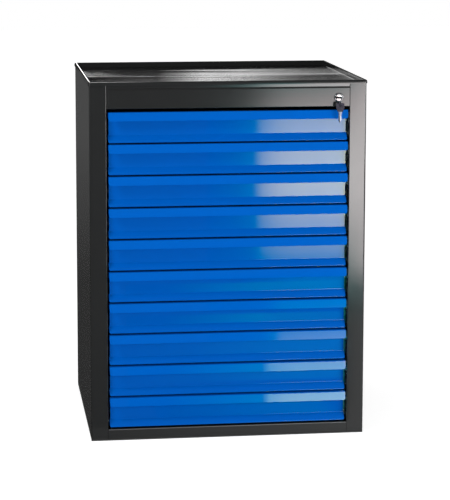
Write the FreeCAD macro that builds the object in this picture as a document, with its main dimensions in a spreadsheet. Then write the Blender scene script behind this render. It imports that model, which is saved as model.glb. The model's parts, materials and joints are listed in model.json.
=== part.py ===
import FreeCAD, Part
import math
import os
import re

import Sketcher

# Workshop drawer cabinet: a folded steel carcass with ten drawers on telescopic runners, a tray top and
# a cylinder lock that works a locking bar.
# Millimetres. X runs to the right, the front faces -Y, Z is up. The origin lies on the floor, in the
# middle of the carcass.

SIZES = (
    # carcass
    ("cabinet_width", 650, "outside width over the two side panels"),
    ("cabinet_depth", 550, "outside depth of the carcass"),
    ("carcass_sheet", 1, "thickness of the carcass sheet"),
    ("bend_radius", 1.6, "outer radius of the bends that show"),
    ("post_width", 40, "face width of each post"),
    ("front_return", 40, "how far a front post turns back beside the drawers"),
    ("rear_return", 60, "how far a rear post turns forward beside the drawers"),
    ("base_height", 26.5, "height of the base pan and its bottom rail"),
    ("rail_lip", 12, "lip that turns back from the top of the bottom rail"),
    ("panel_flange", 12, "flanges of the lock panel and the back panel"),
    # heights above the base
    ("floor_gap", 4.5, "gap between the bottom rail and the lowest drawer front"),
    ("drawer_count", 10, "number of drawers"),
    ("drawer_pitch", 75, "height from one drawer to the next"),
    ("front_gap", 3, "gap between two drawer fronts"),
    ("head_gap", 7.5, "gap between the top drawer and the lock panel"),
    ("lock_panel_height", 44, "height of the lock panel"),
    ("groove_height", 2.5, "shadow groove above the lock panel"),
    ("top_rail_height", 7.5, "visible height of the strip under the rim"),
    ("rim_height", 8.5, "height of the tray's outer rim"),
    # tray top
    ("rim_width", 6, "width of the folded rim"),
    ("rim_overhang", 2, "how far the rim stands out beyond the carcass"),
    ("tray_depth", 12.5, "depth of the tray below its rim"),
    ("mat_thickness", 3, "thickness of the mat"),
    ("mat_margin", 1, "gap between the mat and the tray's walls"),
    # drawer fronts
    ("front_sheet", 1, "thickness of the drawer front's sheet"),
    ("side_gap", 4.5, "gap between a drawer front and the post beside it"),
    ("grip_height", 20, "height of the grip lip"),
    ("grip_lead", 9, "how far the grip's lower edge stands ahead of the posts"),
    ("grip_lean", 4.2, "how far the grip's top leans back from its lower edge"),
    ("panel_recess", 15, "how far the flat middle panel lies behind the posts"),
    ("foot_rise", 16.5, "height of the sloping band below the middle panel"),
    ("foot_recess", 1, "how far the foot of the sloping band lies behind the posts"),
    ("corner_radius", 5, "rounded lower corners of the grip and of the sloping band"),
    ("fold_radius", 2, "outer radius of the front's folds"),
    # drawer boxes
    ("box_sheet", 1, "thickness of the drawer box's sheet"),
    ("box_depth", 500, "length of the drawer box, front to back"),
    ("box_wall", 60, "height of the drawer box"),
    ("box_lift", 2, "height of the box above the foot of its front"),
    ("hem_height", 8, "height of the folded hem round the top of the box"),
    # runners
    ("runner_space", 13, "space for a runner between post return and drawer box"),
    ("runner_length", 472, "length of each runner member"),
    ("runner_start", 20, "start of the runners behind the front of the drawer box"),
    ("runner_lift", 22, "height of the runner's middle above the foot of the drawer front"),
    ("runner_sheet", 1.2, "thickness of the runner steel"),
    ("fixed_runner_height", 35, "height of the fixed member"),
    ("middle_runner_height", 26, "height of the middle member"),
    ("drawer_runner_height", 17, "height of the drawer member"),
    ("runner_play", 0.4, "running gap between the webs and flanges of the members"),
    # lock
    ("lock_inset", 26, "distance of the lock's axis from the right post"),
    ("lock_lift", 21, "height of the lock's axis above the panel's lower edge"),
    ("bezel_radius", 11, "radius of the lock's front ring"),
    ("bezel_height", 3, "how far the front ring stands out"),
    ("barrel_radius", 9, "radius of the lock housing behind the panel"),
    ("barrel_length", 19, "length of the lock housing behind the panel's face"),
    ("plug_radius", 6.5, "radius of the turning plug"),
    ("plug_play", 0.08, "radial running gap of the plug"),
    ("nut_width", 24, "width across the flats of the lock nut"),
    ("nut_thickness", 4, "thickness of the lock nut"),
    ("cam_sheet", 2, "thickness of the cam"),
    ("cam_gap", 0.5, "gap between the housing and the cam"),
    ("cam_screw_radius", 4.5, "radius of the screw head that holds the cam"),
    ("cam_screw_height", 2.4, "height of that screw head"),
    ("cam_pin_radius", 2, "radius of the cam's drive pin"),
    ("cam_pin_play", 0.6, "gap between the drive pin and its slot"),
    # locking bar
    ("bar_travel", 12, "how far the locking bar lifts over a quarter turn"),
    ("bar_setback", 26, "distance of the bar behind the front of the cabinet"),
    ("bar_sheet", 2, "thickness of the bar and of its fingers"),
    ("bar_width", 18, "width of the bar"),
    ("bar_offset", 2, "gap between the bar and the post's return"),
    ("arm_height", 16, "height of the bar's arm behind the lock"),
    ("finger_reach", 9, "how far a finger stands into the drawer space"),
    ("finger_height", 7, "height of a finger"),
    ("finger_lift", 41.5, "height of a finger above the foot of its drawer front"),
    ("finger_play", 1.5, "gap round a finger in its slot"),
    ("guide_height", 14, "height of a bar guide"),
    ("guide_sheet", 1.5, "thickness of a bar guide"),
    ("guide_lift", 8, "height of a bar guide above the foot of the drawer front beside it"),
    ("guide_play", 0.3, "gap between bar and guide"),
    ("lug_reach", 10, "how far the latch bracket stands out from the drawer box"),
    ("lug_height", 12, "height of the latch bracket"),
    ("lug_length", 15, "length of the latch bracket's foot along the drawer box"),
    # keys
    ("key_sheet", 2, "thickness of the keys' metal"),
    ("key_blade_width", 8, "width of the key blades"),
    ("key_blade_inside", 14, "length of blade inside the plug"),
    ("key_play", 0.2, "gap between blade and keyway"),
    ("bow_width", 15, "width of the bow of the key in the lock"),
    ("bow_length", 17, "length of that bow"),
    ("bow_hole_radius", 4, "radius of the hole in that bow"),
    ("bow_rim", 2, "metal left between that hole and the end of the bow"),
    ("ring_radius", 9, "radius of the wire ring, to the middle of its wire"),
    ("ring_wire", 0.7, "radius of the ring's wire"),
    ("ring_gap", 0.45, "gap between the ring and the bow or the spare key"),
    ("spare_head_width", 18, "width of the spare key's head"),
    ("spare_head_height", 19, "height of the spare key's head"),
    ("spare_head_foot", 11, "width of the head where the blade leaves it"),
    ("spare_head_thickness", 3, "thickness of the head"),
    ("spare_head_corner", 3, "rounded upper corners of the head"),
    ("spare_hole_radius", 2.2, "radius of the hole in the head"),
    ("spare_hole_rim", 3, "material above that hole"),
    ("spare_blade_length", 26, "length of the spare key's blade"),
    ("spare_blade_width", 7, "width of the spare key's blade"),
)

NAMES = {name for name, _, _ in SIZES}

# Places that several pieces share, as expressions of the sizes.
HALF_WIDTH = "(cabinet_width / 2)"
FRONT = "(-cabinet_depth / 2)"
BACK = "(cabinet_depth / 2)"
OPENING = f"({HALF_WIDTH} - post_width)"
FIRST_DRAWER = "(base_height + floor_gap)"
FRONT_HEIGHT = "(drawer_pitch - front_gap)"
DRAWERS_TOP = f"({FIRST_DRAWER} + drawer_count * drawer_pitch - front_gap)"
LOCK_PANEL_FOOT = f"({DRAWERS_TOP} + head_gap)"
LOCK_PANEL_TOP = f"({LOCK_PANEL_FOOT} + lock_panel_height)"
TOP_RAIL_FOOT = f"({LOCK_PANEL_TOP} + groove_height)"
RIM_FOOT = f"({TOP_RAIL_FOOT} + top_rail_height)"
RIM_TOP = f"({RIM_FOOT} + rim_height)"
WALL_TOP = f"({RIM_TOP} - carcass_sheet)"
TRAY_FLOOR = f"({RIM_TOP} - tray_depth)"
TRAY_UNDERSIDE = f"({TRAY_FLOOR} - carcass_sheet)"
TRAY_HALF_WIDTH = f"({HALF_WIDTH} + rim_overhang - rim_width)"
TRAY_HALF_DEPTH = f"({BACK} + rim_overhang - rim_width)"
BOX_FRONT = f"({FRONT} + panel_recess + front_sheet)"
BOX_HALF_WIDTH = f"({OPENING} - runner_space)"
RUNNER_FRONT = f"({BOX_FRONT} + runner_start)"
LOCK_X = f"({OPENING} - lock_inset)"
LOCK_Z = f"({LOCK_PANEL_FOOT} + lock_lift)"
CAM_FRONT = f"({FRONT} + barrel_length + cam_gap)"
CAM_RADIUS = "(bar_travel / sqrt(2))"
BAR_FRONT = f"({FRONT} + bar_setback)"
BAR_INNER_EDGE = f"({OPENING} + carcass_sheet + bar_offset)"
FINGER_FRONT = f"({BAR_FRONT} + bar_sheet)"
FINGER_REAR = f"({FINGER_FRONT} + bar_sheet)"
FINGER_TIP = f"({OPENING} - finger_reach)"
PIN_REST_Z = f"({LOCK_Z} - bar_travel / 2)"
RING_TOP = f"({LOCK_Z} + key_sheet / 2 + ring_gap + ring_wire)"
RING_CENTRE_Z = f"({RING_TOP} - ring_radius)"
BOW_END = f"({FRONT} - bezel_height - 1 - bow_length)"
RING_CENTRE_Y = f"({BOW_END} + bow_rim / 2)"
SPARE_HOLE_Z = f"({RING_CENTRE_Z} - ring_radius + ring_wire + ring_gap - spare_hole_radius)"
SPARE_TOP = f"({SPARE_HOLE_Z} + spare_hole_radius + spare_hole_rim)"


doc = FreeCAD.newDocument("DrawerCabinet")
sheet = doc.addObject("Spreadsheet::Sheet", "Sizes")
for row, (name, number, meaning) in enumerate(SIZES, 1):
    sheet.set(f"A{row}", meaning)
    sheet.set(f"B{row}", str(number))
    sheet.setAlias(f"B{row}", name)
doc.recompute()


def bound(expression):
    """The expression with each size's name pointing at its cell."""
    return re.sub(r"[a-z_]+", lambda word: f"Sizes.{word[0]}" if word[0] in NAMES else word[0], str(expression))


def value(expression):
    """The expression's number, in millimetres."""
    return float(sheet.evalExpression(bound(expression)))


def origin(body, role):
    """A plane or axis of the body's own origin."""
    return next(feature for feature in body.Origin.OriginFeatures if feature.Role == role)


def new_body(name, lift="0"):
    """An empty body, raised by lift."""
    body = doc.addObject("PartDesign::Body", name)
    body.Label = name
    body.setExpression("Placement.Base.z", bound(lift))
    return body


def new_sketch(body, plane, offset="0"):
    """An empty sketch on one of the body's planes, moved along the plane's normal."""
    sketch = body.newObject("Sketcher::SketchObject", f"{body.Name}_sketch")
    sketch.AttachmentSupport = [(origin(body, plane), "")]
    sketch.MapMode = "FlatFace"
    sketch.setExpression("AttachmentOffset.Base.z", bound(offset))
    return sketch


def pin_point(sketch, line, end, across, up):
    """Hold one end of a line at a place given by two expressions."""
    for kind, letter, place in (("DistanceX", "x", across), ("DistanceY", "y", up)):
        index = sketch.addConstraint(Sketcher.Constraint(kind, -1, 1, line, end, value(place)))
        sketch.renameConstraint(index, f"{letter}{line}_{end}")
        sketch.setExpression(f"Constraints.{letter}{line}_{end}", bound(place))


def add_outline(sketch, corners):
    """Add a closed outline of straight lines through corners given as expressions."""
    first = sketch.GeometryCount
    points = [FreeCAD.Vector(value(across), value(up), 0) for across, up in corners]
    count = len(points)
    for step in range(count):
        sketch.addGeometry(Part.LineSegment(points[step], points[(step + 1) % count]), False)
    for step in range(count):
        after = first + (step + 1) % count
        sketch.addConstraint(Sketcher.Constraint("Coincident", first + step, 2, after, 1))
    for step, (across, up) in enumerate(corners):
        pin_point(sketch, first + step, 1, across, up)


def add_circle(sketch, across, up, radius):
    """Add a circle whose centre and radius are expressions."""
    index = sketch.addGeometry(
        Part.Circle(FreeCAD.Vector(value(across), value(up), 0), FreeCAD.Vector(0, 0, 1), value(radius)), False
    )
    pin_point(sketch, index, 3, across, up)
    constraint = sketch.addConstraint(Sketcher.Constraint("Radius", index, value(radius)))
    sketch.renameConstraint(constraint, f"radius{index}")
    sketch.setExpression(f"Constraints.radius{index}", bound(radius))


def add_corner(sketch, side, edge, low, radius):
    """Add what a rounded lower corner leaves out: side is 1 for a right corner and -1 for a left one."""
    first = sketch.GeometryCount
    inner = f"({edge} - {side} * {radius})"
    upper = f"({low} + {radius})"
    corner = FreeCAD.Vector(value(edge), value(low), 0)
    beside = FreeCAD.Vector(value(inner), value(low), 0)
    above = FreeCAD.Vector(value(edge), value(upper), 0)
    sketch.addGeometry(Part.LineSegment(corner, beside), False)
    sketch.addGeometry(Part.LineSegment(above, corner), False)
    circle = Part.Circle(FreeCAD.Vector(value(inner), value(upper), 0), FreeCAD.Vector(0, 0, 1), value(radius))
    turns = (1.5 * math.pi, 2 * math.pi) if side > 0 else (math.pi, 1.5 * math.pi)
    sketch.addGeometry(Part.ArcOfCircle(circle, *turns), False)
    arc_low, arc_high = (1, 2) if side > 0 else (2, 1)
    sketch.addConstraint(Sketcher.Constraint("Coincident", first, 1, first + 1, 2))
    sketch.addConstraint(Sketcher.Constraint("Coincident", first, 2, first + 2, arc_low))
    sketch.addConstraint(Sketcher.Constraint("Coincident", first + 1, 1, first + 2, arc_high))
    pin_point(sketch, first, 1, edge, low)
    pin_point(sketch, first, 2, inner, low)
    pin_point(sketch, first + 1, 1, edge, upper)
    constraint = sketch.addConstraint(Sketcher.Constraint("Radius", first + 2, value(radius)))
    sketch.renameConstraint(constraint, f"radius{first}")
    sketch.setExpression(f"Constraints.radius{first}", bound(radius))


def rectangle(left, low, right, high):
    """The four corners of an upright rectangle."""
    return ((left, low), (right, low), (right, high), (left, high))


def pad(body, sketch, length, reverse=False, symmetric=False):
    """Thicken a sketch."""
    feature = body.newObject("PartDesign::Pad", f"{body.Name}_pad")
    feature.Profile = sketch
    feature.setExpression("Length", bound(length))
    feature.Reversed = reverse
    if symmetric:
        feature.SideType = "Symmetric"
    return feature


def pocket(body, sketch, length=None, reverse=False, symmetric=False):
    """Cut a sketch out of the body, right through where no length is given."""
    feature = body.newObject("PartDesign::Pocket", f"{body.Name}_pocket")
    feature.Profile = sketch
    feature.Reversed = reverse
    if length is None:
        feature.Type = "ThroughAll"
        feature.SideType = "Symmetric"
    else:
        feature.setExpression("Length", bound(length))
    if symmetric:
        feature.SideType = "Symmetric"
    return feature


def repeat_upwards(body, feature, count, length):
    """Repeat a feature up the cabinet."""
    pattern = body.newObject("PartDesign::LinearPattern", f"{body.Name}_pattern")
    pattern.Originals = [feature]
    pattern.Direction = (origin(body, "Z_Axis"), [""])
    pattern.setExpression("Length", bound(length))
    pattern.Occurrences = count
    body.Tip = pattern
    return pattern


def mirror(body, feature):
    """Repeat a feature on the other side of the cabinet."""
    mirrored = body.newObject("PartDesign::Mirrored", f"{body.Name}_mirror")
    mirrored.Originals = [feature]
    mirrored.MirrorPlane = (origin(body, "YZ_Plane"), [""])
    body.Tip = mirrored
    return mirrored


def edges_at(shape, axis, places):
    """Names of the straight edges along an axis that pass through places on the plane across it."""
    across = [index for index in range(3) if index != "xyz".index(axis)]
    wanted = [(value(first), value(second)) for first, second in places]
    names = []
    for index, edge in enumerate(shape.Edges, 1):
        ends = [vertex.Point for vertex in edge.Vertexes]
        if len(ends) != 2 or edge.Curve.TypeId != "Part::GeomLine":
            continue
        for first, second in wanted:
            offsets = [abs(end[across[0]] - first) + abs(end[across[1]] - second) for end in ends]
            if max(offsets) < 0.01:
                names.append(f"Edge{index}")
    return names


def round_edges(body, axis, places, radius):
    """Round the edges along an axis at the given places."""
    doc.recompute()
    base = body.Tip
    feature = body.newObject("PartDesign::Fillet", f"{body.Name}_round")
    feature.Base = (base, edges_at(base.Shape, axis, places))
    feature.setExpression("Radius", bound(radius))
    return feature


def drawer_lift(number):
    """Height of the foot of a drawer's front, counted from the top drawer."""
    return f"({FIRST_DRAWER} + (drawer_count - {number}) * drawer_pitch)"


def side_panel(name, side):
    """A side panel with its posts: side is 1 on the right and -1 on the left."""
    body = new_body(name)
    outer = new_sketch(body, "XY_Plane")
    add_outline(outer, rectangle(f"{side} * {OPENING}", FRONT, f"{side} * {HALF_WIDTH}", BACK))
    pad(body, outer, WALL_TOP)
    inner = new_sketch(body, "XY_Plane")
    inner_left = f"{side} * ({OPENING} + carcass_sheet)"
    inner_right = f"{side} * ({HALF_WIDTH} - carcass_sheet)"
    add_outline(inner, rectangle(inner_left, f"{FRONT} + carcass_sheet", inner_right, f"{BACK} - carcass_sheet"))
    pocket(body, inner)
    # The posts turn back only beside the ends of the drawers.
    gap = new_sketch(body, "XY_Plane")
    gap_left = f"{side} * ({OPENING} - carcass_sheet)"
    gap_right = f"{side} * ({OPENING} + 2 * carcass_sheet)"
    add_outline(gap, rectangle(gap_left, f"{FRONT} + front_return", gap_right, f"{BACK} - rear_return"))
    pocket(body, gap)
    # The tray's pan sits on the returns, inside the outer walls.
    seat = new_sketch(body, "XY_Plane", TRAY_UNDERSIDE)
    seat_right = f"{side} * ({HALF_WIDTH} - 2 * carcass_sheet)"
    seat_front = f"{FRONT} + 2 * carcass_sheet"
    seat_back = f"{BACK} - 2 * carcass_sheet"
    add_outline(seat, rectangle(gap_left, seat_front, seat_right, seat_back))
    pocket(body, seat, "rim_height + tray_depth", reverse=True)
    if side > 0:
        finger_slots(body)
    corners = [(f"{side} * {across}", along) for across in (OPENING, HALF_WIDTH) for along in (FRONT, BACK)]
    round_edges(body, "z", corners, "bend_radius")
    inner_corners = [
        (f"{side} * ({HALF_WIDTH} - carcass_sheet)", f"{FRONT} + carcass_sheet"),
        (f"{side} * ({HALF_WIDTH} - carcass_sheet)", f"{BACK} - carcass_sheet"),
    ]
    round_edges(body, "z", inner_corners, "bend_radius - carcass_sheet")
    return body


def finger_slots(body):
    """Slots in the right post's return for the fingers, and a window for the bar's arm."""
    reach = "6 * carcass_sheet"
    middle = f"{OPENING} + carcass_sheet / 2"
    slot = new_sketch(body, "YZ_Plane", middle)
    low = f"{FIRST_DRAWER} + finger_lift - finger_play"
    high = f"{FIRST_DRAWER} + finger_lift + finger_height + bar_travel + finger_play"
    add_outline(slot, rectangle(f"{FINGER_FRONT} - finger_play", low, f"{FINGER_REAR} + finger_play", high))
    cut = pocket(body, slot, reach, symmetric=True)
    repeat_upwards(body, cut, int(value("drawer_count")), "(drawer_count - 1) * drawer_pitch")
    window = new_sketch(body, "YZ_Plane", middle)
    low = f"{PIN_REST_Z} - arm_height / 2 - finger_play"
    high = f"{PIN_REST_Z} + arm_height / 2 + bar_travel + finger_play"
    add_outline(window, rectangle(f"{BAR_FRONT} - finger_play", low, f"{FINGER_FRONT} + finger_play", high))
    pocket(body, window, reach, symmetric=True)


def back_panel():
    """The back, with flanges welded to the rear posts' returns."""
    body = new_body("back_panel")
    block = new_sketch(body, "XY_Plane", "base_height")
    add_outline(block, rectangle(f"-{OPENING}", f"{BACK} - panel_flange", OPENING, BACK))
    pad(body, block, f"{WALL_TOP} - base_height")
    hollow = new_sketch(body, "XY_Plane", "base_height")
    inside = f"({OPENING} - carcass_sheet)"
    far = f"{BACK} - carcass_sheet"
    add_outline(hollow, rectangle(f"-{inside}", f"{BACK} - 2 * panel_flange", inside, far))
    pocket(body, hollow)
    seat = new_sketch(body, "XY_Plane", TRAY_UNDERSIDE)
    wide = f"({OPENING} + carcass_sheet)"
    seat_back = f"{BACK} - carcass_sheet"
    add_outline(seat, rectangle(f"-{wide}", f"{BACK} - 2 * panel_flange", wide, seat_back))
    pocket(body, seat, "rim_height + tray_depth", reverse=True)
    return body


def base_pan():
    """The floor of the cabinet, folded up all round, with the bottom rail at its front."""
    body = new_body("base_pan")
    inside = f"({HALF_WIDTH} - carcass_sheet)"
    front_notch = f"{FRONT} + front_return"
    back_notch = f"{BACK} - rear_return"
    right = (
        (OPENING, FRONT),
        (OPENING, front_notch),
        (inside, front_notch),
        (inside, back_notch),
        (OPENING, back_notch),
        (OPENING, BACK),
    )
    left = tuple((f"-{across}", along) for across, along in reversed(right))
    floor = new_sketch(body, "XY_Plane")
    add_outline(floor, right + left)
    block = pad(body, floor, "base_height")
    doc.recompute()
    top = max(enumerate(block.Shape.Faces, 1), key=lambda item: item[1].CenterOfMass.z)[0]
    shell = body.newObject("PartDesign::Thickness", "base_pan_shell")
    shell.Base = (block, [f"Face{top}"])
    shell.setExpression("Value", bound("carcass_sheet"))
    shell.Reversed = True
    shell.Join = "Intersection"
    lip = new_sketch(body, "XY_Plane", "base_height - carcass_sheet")
    add_outline(lip, rectangle(f"-{OPENING}", FRONT, OPENING, f"{FRONT} + rail_lip"))
    pad(body, lip, "carcass_sheet")
    round_edges(body, "x", [(FRONT, "base_height")], "bend_radius / 2")
    return body


def top_rail():
    """The strip between the posts under the tray's rim."""
    body = new_body("top_rail")
    strip = new_sketch(body, "XZ_Plane", f"-{FRONT}")
    add_outline(strip, rectangle(f"-{OPENING}", TOP_RAIL_FOOT, OPENING, WALL_TOP))
    pad(body, strip, "carcass_sheet", reverse=True)
    return body


def lock_panel():
    """The panel above the drawers, with a lip below, flanges at the posts and the lock's hole."""
    body = new_body("lock_panel")
    block = new_sketch(body, "XZ_Plane", f"-{FRONT}")
    add_outline(block, rectangle(f"-{OPENING}", LOCK_PANEL_FOOT, OPENING, LOCK_PANEL_TOP))
    pad(body, block, "panel_flange", reverse=True)
    hollow = new_sketch(body, "XZ_Plane", f"-{FRONT} - carcass_sheet")
    inside = f"({OPENING} - carcass_sheet)"
    low = f"{LOCK_PANEL_FOOT} + carcass_sheet"
    add_outline(hollow, rectangle(f"-{inside}", low, inside, f"{LOCK_PANEL_TOP} + carcass_sheet"))
    pocket(body, hollow, "panel_flange")
    hole = new_sketch(body, "XZ_Plane")
    add_circle(hole, LOCK_X, LOCK_Z, "barrel_radius + plug_play")
    pocket(body, hole)
    round_edges(body, "x", [(FRONT, LOCK_PANEL_FOOT)], "bend_radius")
    return body


def top_tray():
    """The tray: a pan whose wall is folded out and down over the carcass's top edge."""
    body = new_body("top_tray")
    pan = new_sketch(body, "XY_Plane", TRAY_UNDERSIDE)
    outer_x = f"({TRAY_HALF_WIDTH} + carcass_sheet)"
    outer_y = f"({TRAY_HALF_DEPTH} + carcass_sheet)"
    add_outline(pan, rectangle(f"-{outer_x}", f"-{outer_y}", outer_x, outer_y))
    pad(body, pan, "tray_depth + carcass_sheet")
    rim_x = f"({HALF_WIDTH} + rim_overhang)"
    rim_y = f"({BACK} + rim_overhang)"
    flange = new_sketch(body, "XY_Plane", WALL_TOP)
    add_outline(flange, rectangle(f"-{rim_x}", f"-{rim_y}", rim_x, rim_y))
    pad(body, flange, "carcass_sheet")
    skirt = new_sketch(body, "XY_Plane", RIM_FOOT)
    add_outline(skirt, rectangle(f"-{rim_x}", f"-{rim_y}", rim_x, rim_y))
    skirt_x = f"({rim_x} - carcass_sheet)"
    skirt_y = f"({rim_y} - carcass_sheet)"
    add_outline(skirt, rectangle(f"-{skirt_x}", f"-{skirt_y}", skirt_x, skirt_y))
    pad(body, skirt, "rim_height")
    hollow = new_sketch(body, "XY_Plane", TRAY_FLOOR)
    across, along = TRAY_HALF_WIDTH, TRAY_HALF_DEPTH
    add_outline(hollow, rectangle(f"-{across}", f"-{along}", across, along))
    pocket(body, hollow, "tray_depth", reverse=True)
    rim_corners = [(f"{side} * {rim_x}", f"{end} * {rim_y}") for side in (-1, 1) for end in (-1, 1)]
    round_edges(body, "z", rim_corners, "2 * bend_radius")
    round_edges(body, "x", [(f"-{rim_y}", RIM_TOP), (rim_y, RIM_TOP)], "bend_radius")
    return body


def ribbed_mat():
    """The mat that lies in the tray."""
    body = new_body("ribbed_mat")
    slab = new_sketch(body, "XY_Plane", TRAY_FLOOR)
    across = f"({TRAY_HALF_WIDTH} - mat_margin)"
    along = f"({TRAY_HALF_DEPTH} - mat_margin)"
    add_outline(slab, rectangle(f"-{across}", f"-{along}", across, along))
    pad(body, slab, "mat_thickness")
    return body


def drawer_front(number):
    """A folded front: grip lip, recessed middle panel and sloping foot."""
    body = new_body(f"drawer_{number:02d}_front", drawer_lift(number))
    face = f"({FRONT} + panel_recess)"
    rear = f"({FRONT} + panel_recess + front_sheet)"
    foot = f"({FRONT} + foot_recess)"
    lead = f"({FRONT} - grip_lead)"
    lean = f"({lead} + grip_lean)"
    under = f"({FRONT_HEIGHT} - grip_height)"
    slope = "((panel_recess - foot_recess) / foot_rise)"
    slant = f"(front_sheet * sqrt(1 + {slope} * {slope}))"
    block = new_sketch(body, "YZ_Plane")
    silhouette = (
        (rear, "0"),
        (foot, "0"),
        (face, "foot_rise"),
        (face, under),
        (lead, under),
        (lean, FRONT_HEIGHT),
        (rear, FRONT_HEIGHT),
    )
    add_outline(block, silhouette)
    width = f"2 * ({OPENING} - side_gap)"
    pad(body, block, width, symmetric=True)
    # The lower corners of the foot and of the grip are rounded.
    foot_corners = new_sketch(body, "XZ_Plane")
    grip_corners = new_sketch(body, "XZ_Plane", f"-{face}")
    for side in (-1, 1):
        end = f"({side} * ({OPENING} - side_gap))"
        add_corner(foot_corners, side, end, "0", "corner_radius")
        add_corner(grip_corners, side, end, under, "corner_radius")
    pocket(body, foot_corners)
    pocket(body, grip_corners, "panel_recess + 2 * grip_lead", reverse=True)
    round_edges(body, "x", [(lean, FRONT_HEIGHT), (face, "foot_rise")], "fold_radius")
    # The hollow for the fingers, behind the grip and open below.
    grip = new_sketch(body, "YZ_Plane")
    ceiling = f"({FRONT_HEIGHT} - front_sheet)"
    inner_lead = f"({lead} + front_sheet)"
    inner_lean = f"({inner_lead} + grip_lean * (grip_height - front_sheet) / grip_height)"
    below = f"({under} - front_sheet)"
    add_outline(grip, ((inner_lead, below), (face, below), (face, ceiling), (inner_lean, ceiling)))
    pocket(body, grip)
    # The hollow behind the sloping foot.
    hollow = new_sketch(body, "YZ_Plane")
    start = f"({foot} + {slope} * front_sheet + {slant})"
    end = f"(({rear} - {foot} - {slant}) / {slope})"
    add_outline(hollow, ((start, "front_sheet"), (rear, "front_sheet"), (rear, end)))
    pocket(body, hollow)
    return body


def drawer_box(number):
    """An open box with a folded hem round its top."""
    body = new_body(f"drawer_{number:02d}_box", drawer_lift(number))
    rear = f"({BOX_FRONT} + box_depth)"
    block = new_sketch(body, "XY_Plane", "box_lift")
    add_outline(block, rectangle(f"-{BOX_HALF_WIDTH}", BOX_FRONT, BOX_HALF_WIDTH, rear))
    pad(body, block, "box_wall")
    inside = f"({BOX_HALF_WIDTH} - box_sheet)"
    near = f"({BOX_FRONT} + box_sheet)"
    far = f"({rear} - box_sheet)"
    hollow = new_sketch(body, "XY_Plane", "box_lift + box_sheet")
    add_outline(hollow, rectangle(f"-{inside}", near, inside, far))
    pocket(body, hollow, "box_wall", reverse=True)
    hem = new_sketch(body, "XY_Plane", "box_lift + box_wall - hem_height")
    add_outline(hem, rectangle(f"-{inside}", near, inside, far))
    hem_inside = f"({inside} - box_sheet)"
    hem_near = f"({near} + box_sheet)"
    hem_far = f"({far} - box_sheet)"
    add_outline(hem, rectangle(f"-{hem_inside}", hem_near, hem_inside, hem_far))
    pad(body, hem, "hem_height")
    return body


def channel(web, reach, height, opens):
    """Outline of a C-shaped runner member: opens is -1 towards the drawer, 1 towards the cabinet."""
    back = f"({web} + {opens} * runner_sheet)"
    tip = f"({web} + {opens} * {reach})"
    high = f"({height} / 2)"
    low = f"(-{height} / 2)"
    inner_high = f"({high} - runner_sheet)"
    inner_low = f"({low} + runner_sheet)"
    return (
        (web, low),
        (tip, low),
        (tip, inner_low),
        (back, inner_low),
        (back, inner_high),
        (tip, inner_high),
        (tip, high),
        (web, high),
    )


# The members nest: each starts one sheet and one running gap inside the one before.
RUNNER_STEP = "(runner_sheet + runner_play)"
FIXED_REACH = f"(runner_space - {RUNNER_STEP} - runner_play)"
MIDDLE_WEB = f"({OPENING} - {RUNNER_STEP})"
MIDDLE_REACH = f"({FIXED_REACH} - {RUNNER_STEP})"
DRAWER_REACH = f"(runner_space - 2 * {RUNNER_STEP})"


def runner_sketch(body, outline):
    """A runner's section, standing at the front end of the runners."""
    sketch = new_sketch(body, "XZ_Plane", f"-{RUNNER_FRONT}")
    add_outline(sketch, [(across, f"{up} + runner_lift") for across, up in outline])
    return sketch


def cabinet_runners(name, side):
    """The fixed members of one side, one for each drawer."""
    body = new_body(name, FIRST_DRAWER)
    section = channel(f"{side} * {OPENING}", FIXED_REACH, "fixed_runner_height", -side)
    member = pad(body, runner_sketch(body, section), "runner_length", reverse=True)
    repeat_upwards(body, member, int(value("drawer_count")), "(drawer_count - 1) * drawer_pitch")
    return body


def middle_runners(number):
    """The telescoping middle members of one drawer."""
    body = new_body(f"drawer_{number:02d}_middle_runners", drawer_lift(number))
    section = channel(MIDDLE_WEB, MIDDLE_REACH, "middle_runner_height", -1)
    mirror(body, pad(body, runner_sketch(body, section), "runner_length", reverse=True))
    return body


def drawer_runners(number):
    """The members fixed to one drawer box, with the latch bracket that the finger stops."""
    body = new_body(f"drawer_{number:02d}_runners", drawer_lift(number))
    section = channel(BOX_HALF_WIDTH, DRAWER_REACH, "drawer_runner_height", 1)
    mirror(body, pad(body, runner_sketch(body, section), "runner_length", reverse=True))
    bracket = new_sketch(body, "XY_Plane", "box_lift + box_wall - lug_height")
    near = f"({FINGER_REAR} + 2 * guide_play)"
    fold = f"({near} + bar_sheet)"
    tip = f"({BOX_HALF_WIDTH} + lug_reach)"
    foot = f"({BOX_HALF_WIDTH} + bar_sheet)"
    far = f"({near} + lug_length)"
    add_outline(
        bracket,
        ((BOX_HALF_WIDTH, near), (tip, near), (tip, fold), (foot, fold), (foot, far), (BOX_HALF_WIDTH, far)),
    )
    pad(body, bracket, "lug_height")
    return body


def bar_guides():
    """Two clips on the right post's return that hold the bar."""
    body = new_body("bar_guides", f"{FIRST_DRAWER} + guide_lift")
    clip = new_sketch(body, "XY_Plane")
    root = f"({OPENING} + carcass_sheet)"
    inner_x = f"({BAR_INNER_EDGE} + bar_width + guide_play)"
    outer_x = f"({inner_x} + guide_sheet)"
    near = f"({BAR_FRONT} - guide_play)"
    far = f"({BAR_FRONT} + bar_sheet + guide_play)"
    outer_near = f"({near} - guide_sheet)"
    outer_far = f"({far} + guide_sheet)"
    add_outline(
        clip,
        (
            (root, outer_near),
            (outer_x, outer_near),
            (outer_x, outer_far),
            (root, outer_far),
            (root, far),
            (inner_x, far),
            (inner_x, near),
            (root, near),
        ),
    )
    repeat_upwards(body, pad(body, clip, "guide_height"), 2, "(drawer_count - 1) * drawer_pitch")
    return body


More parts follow.
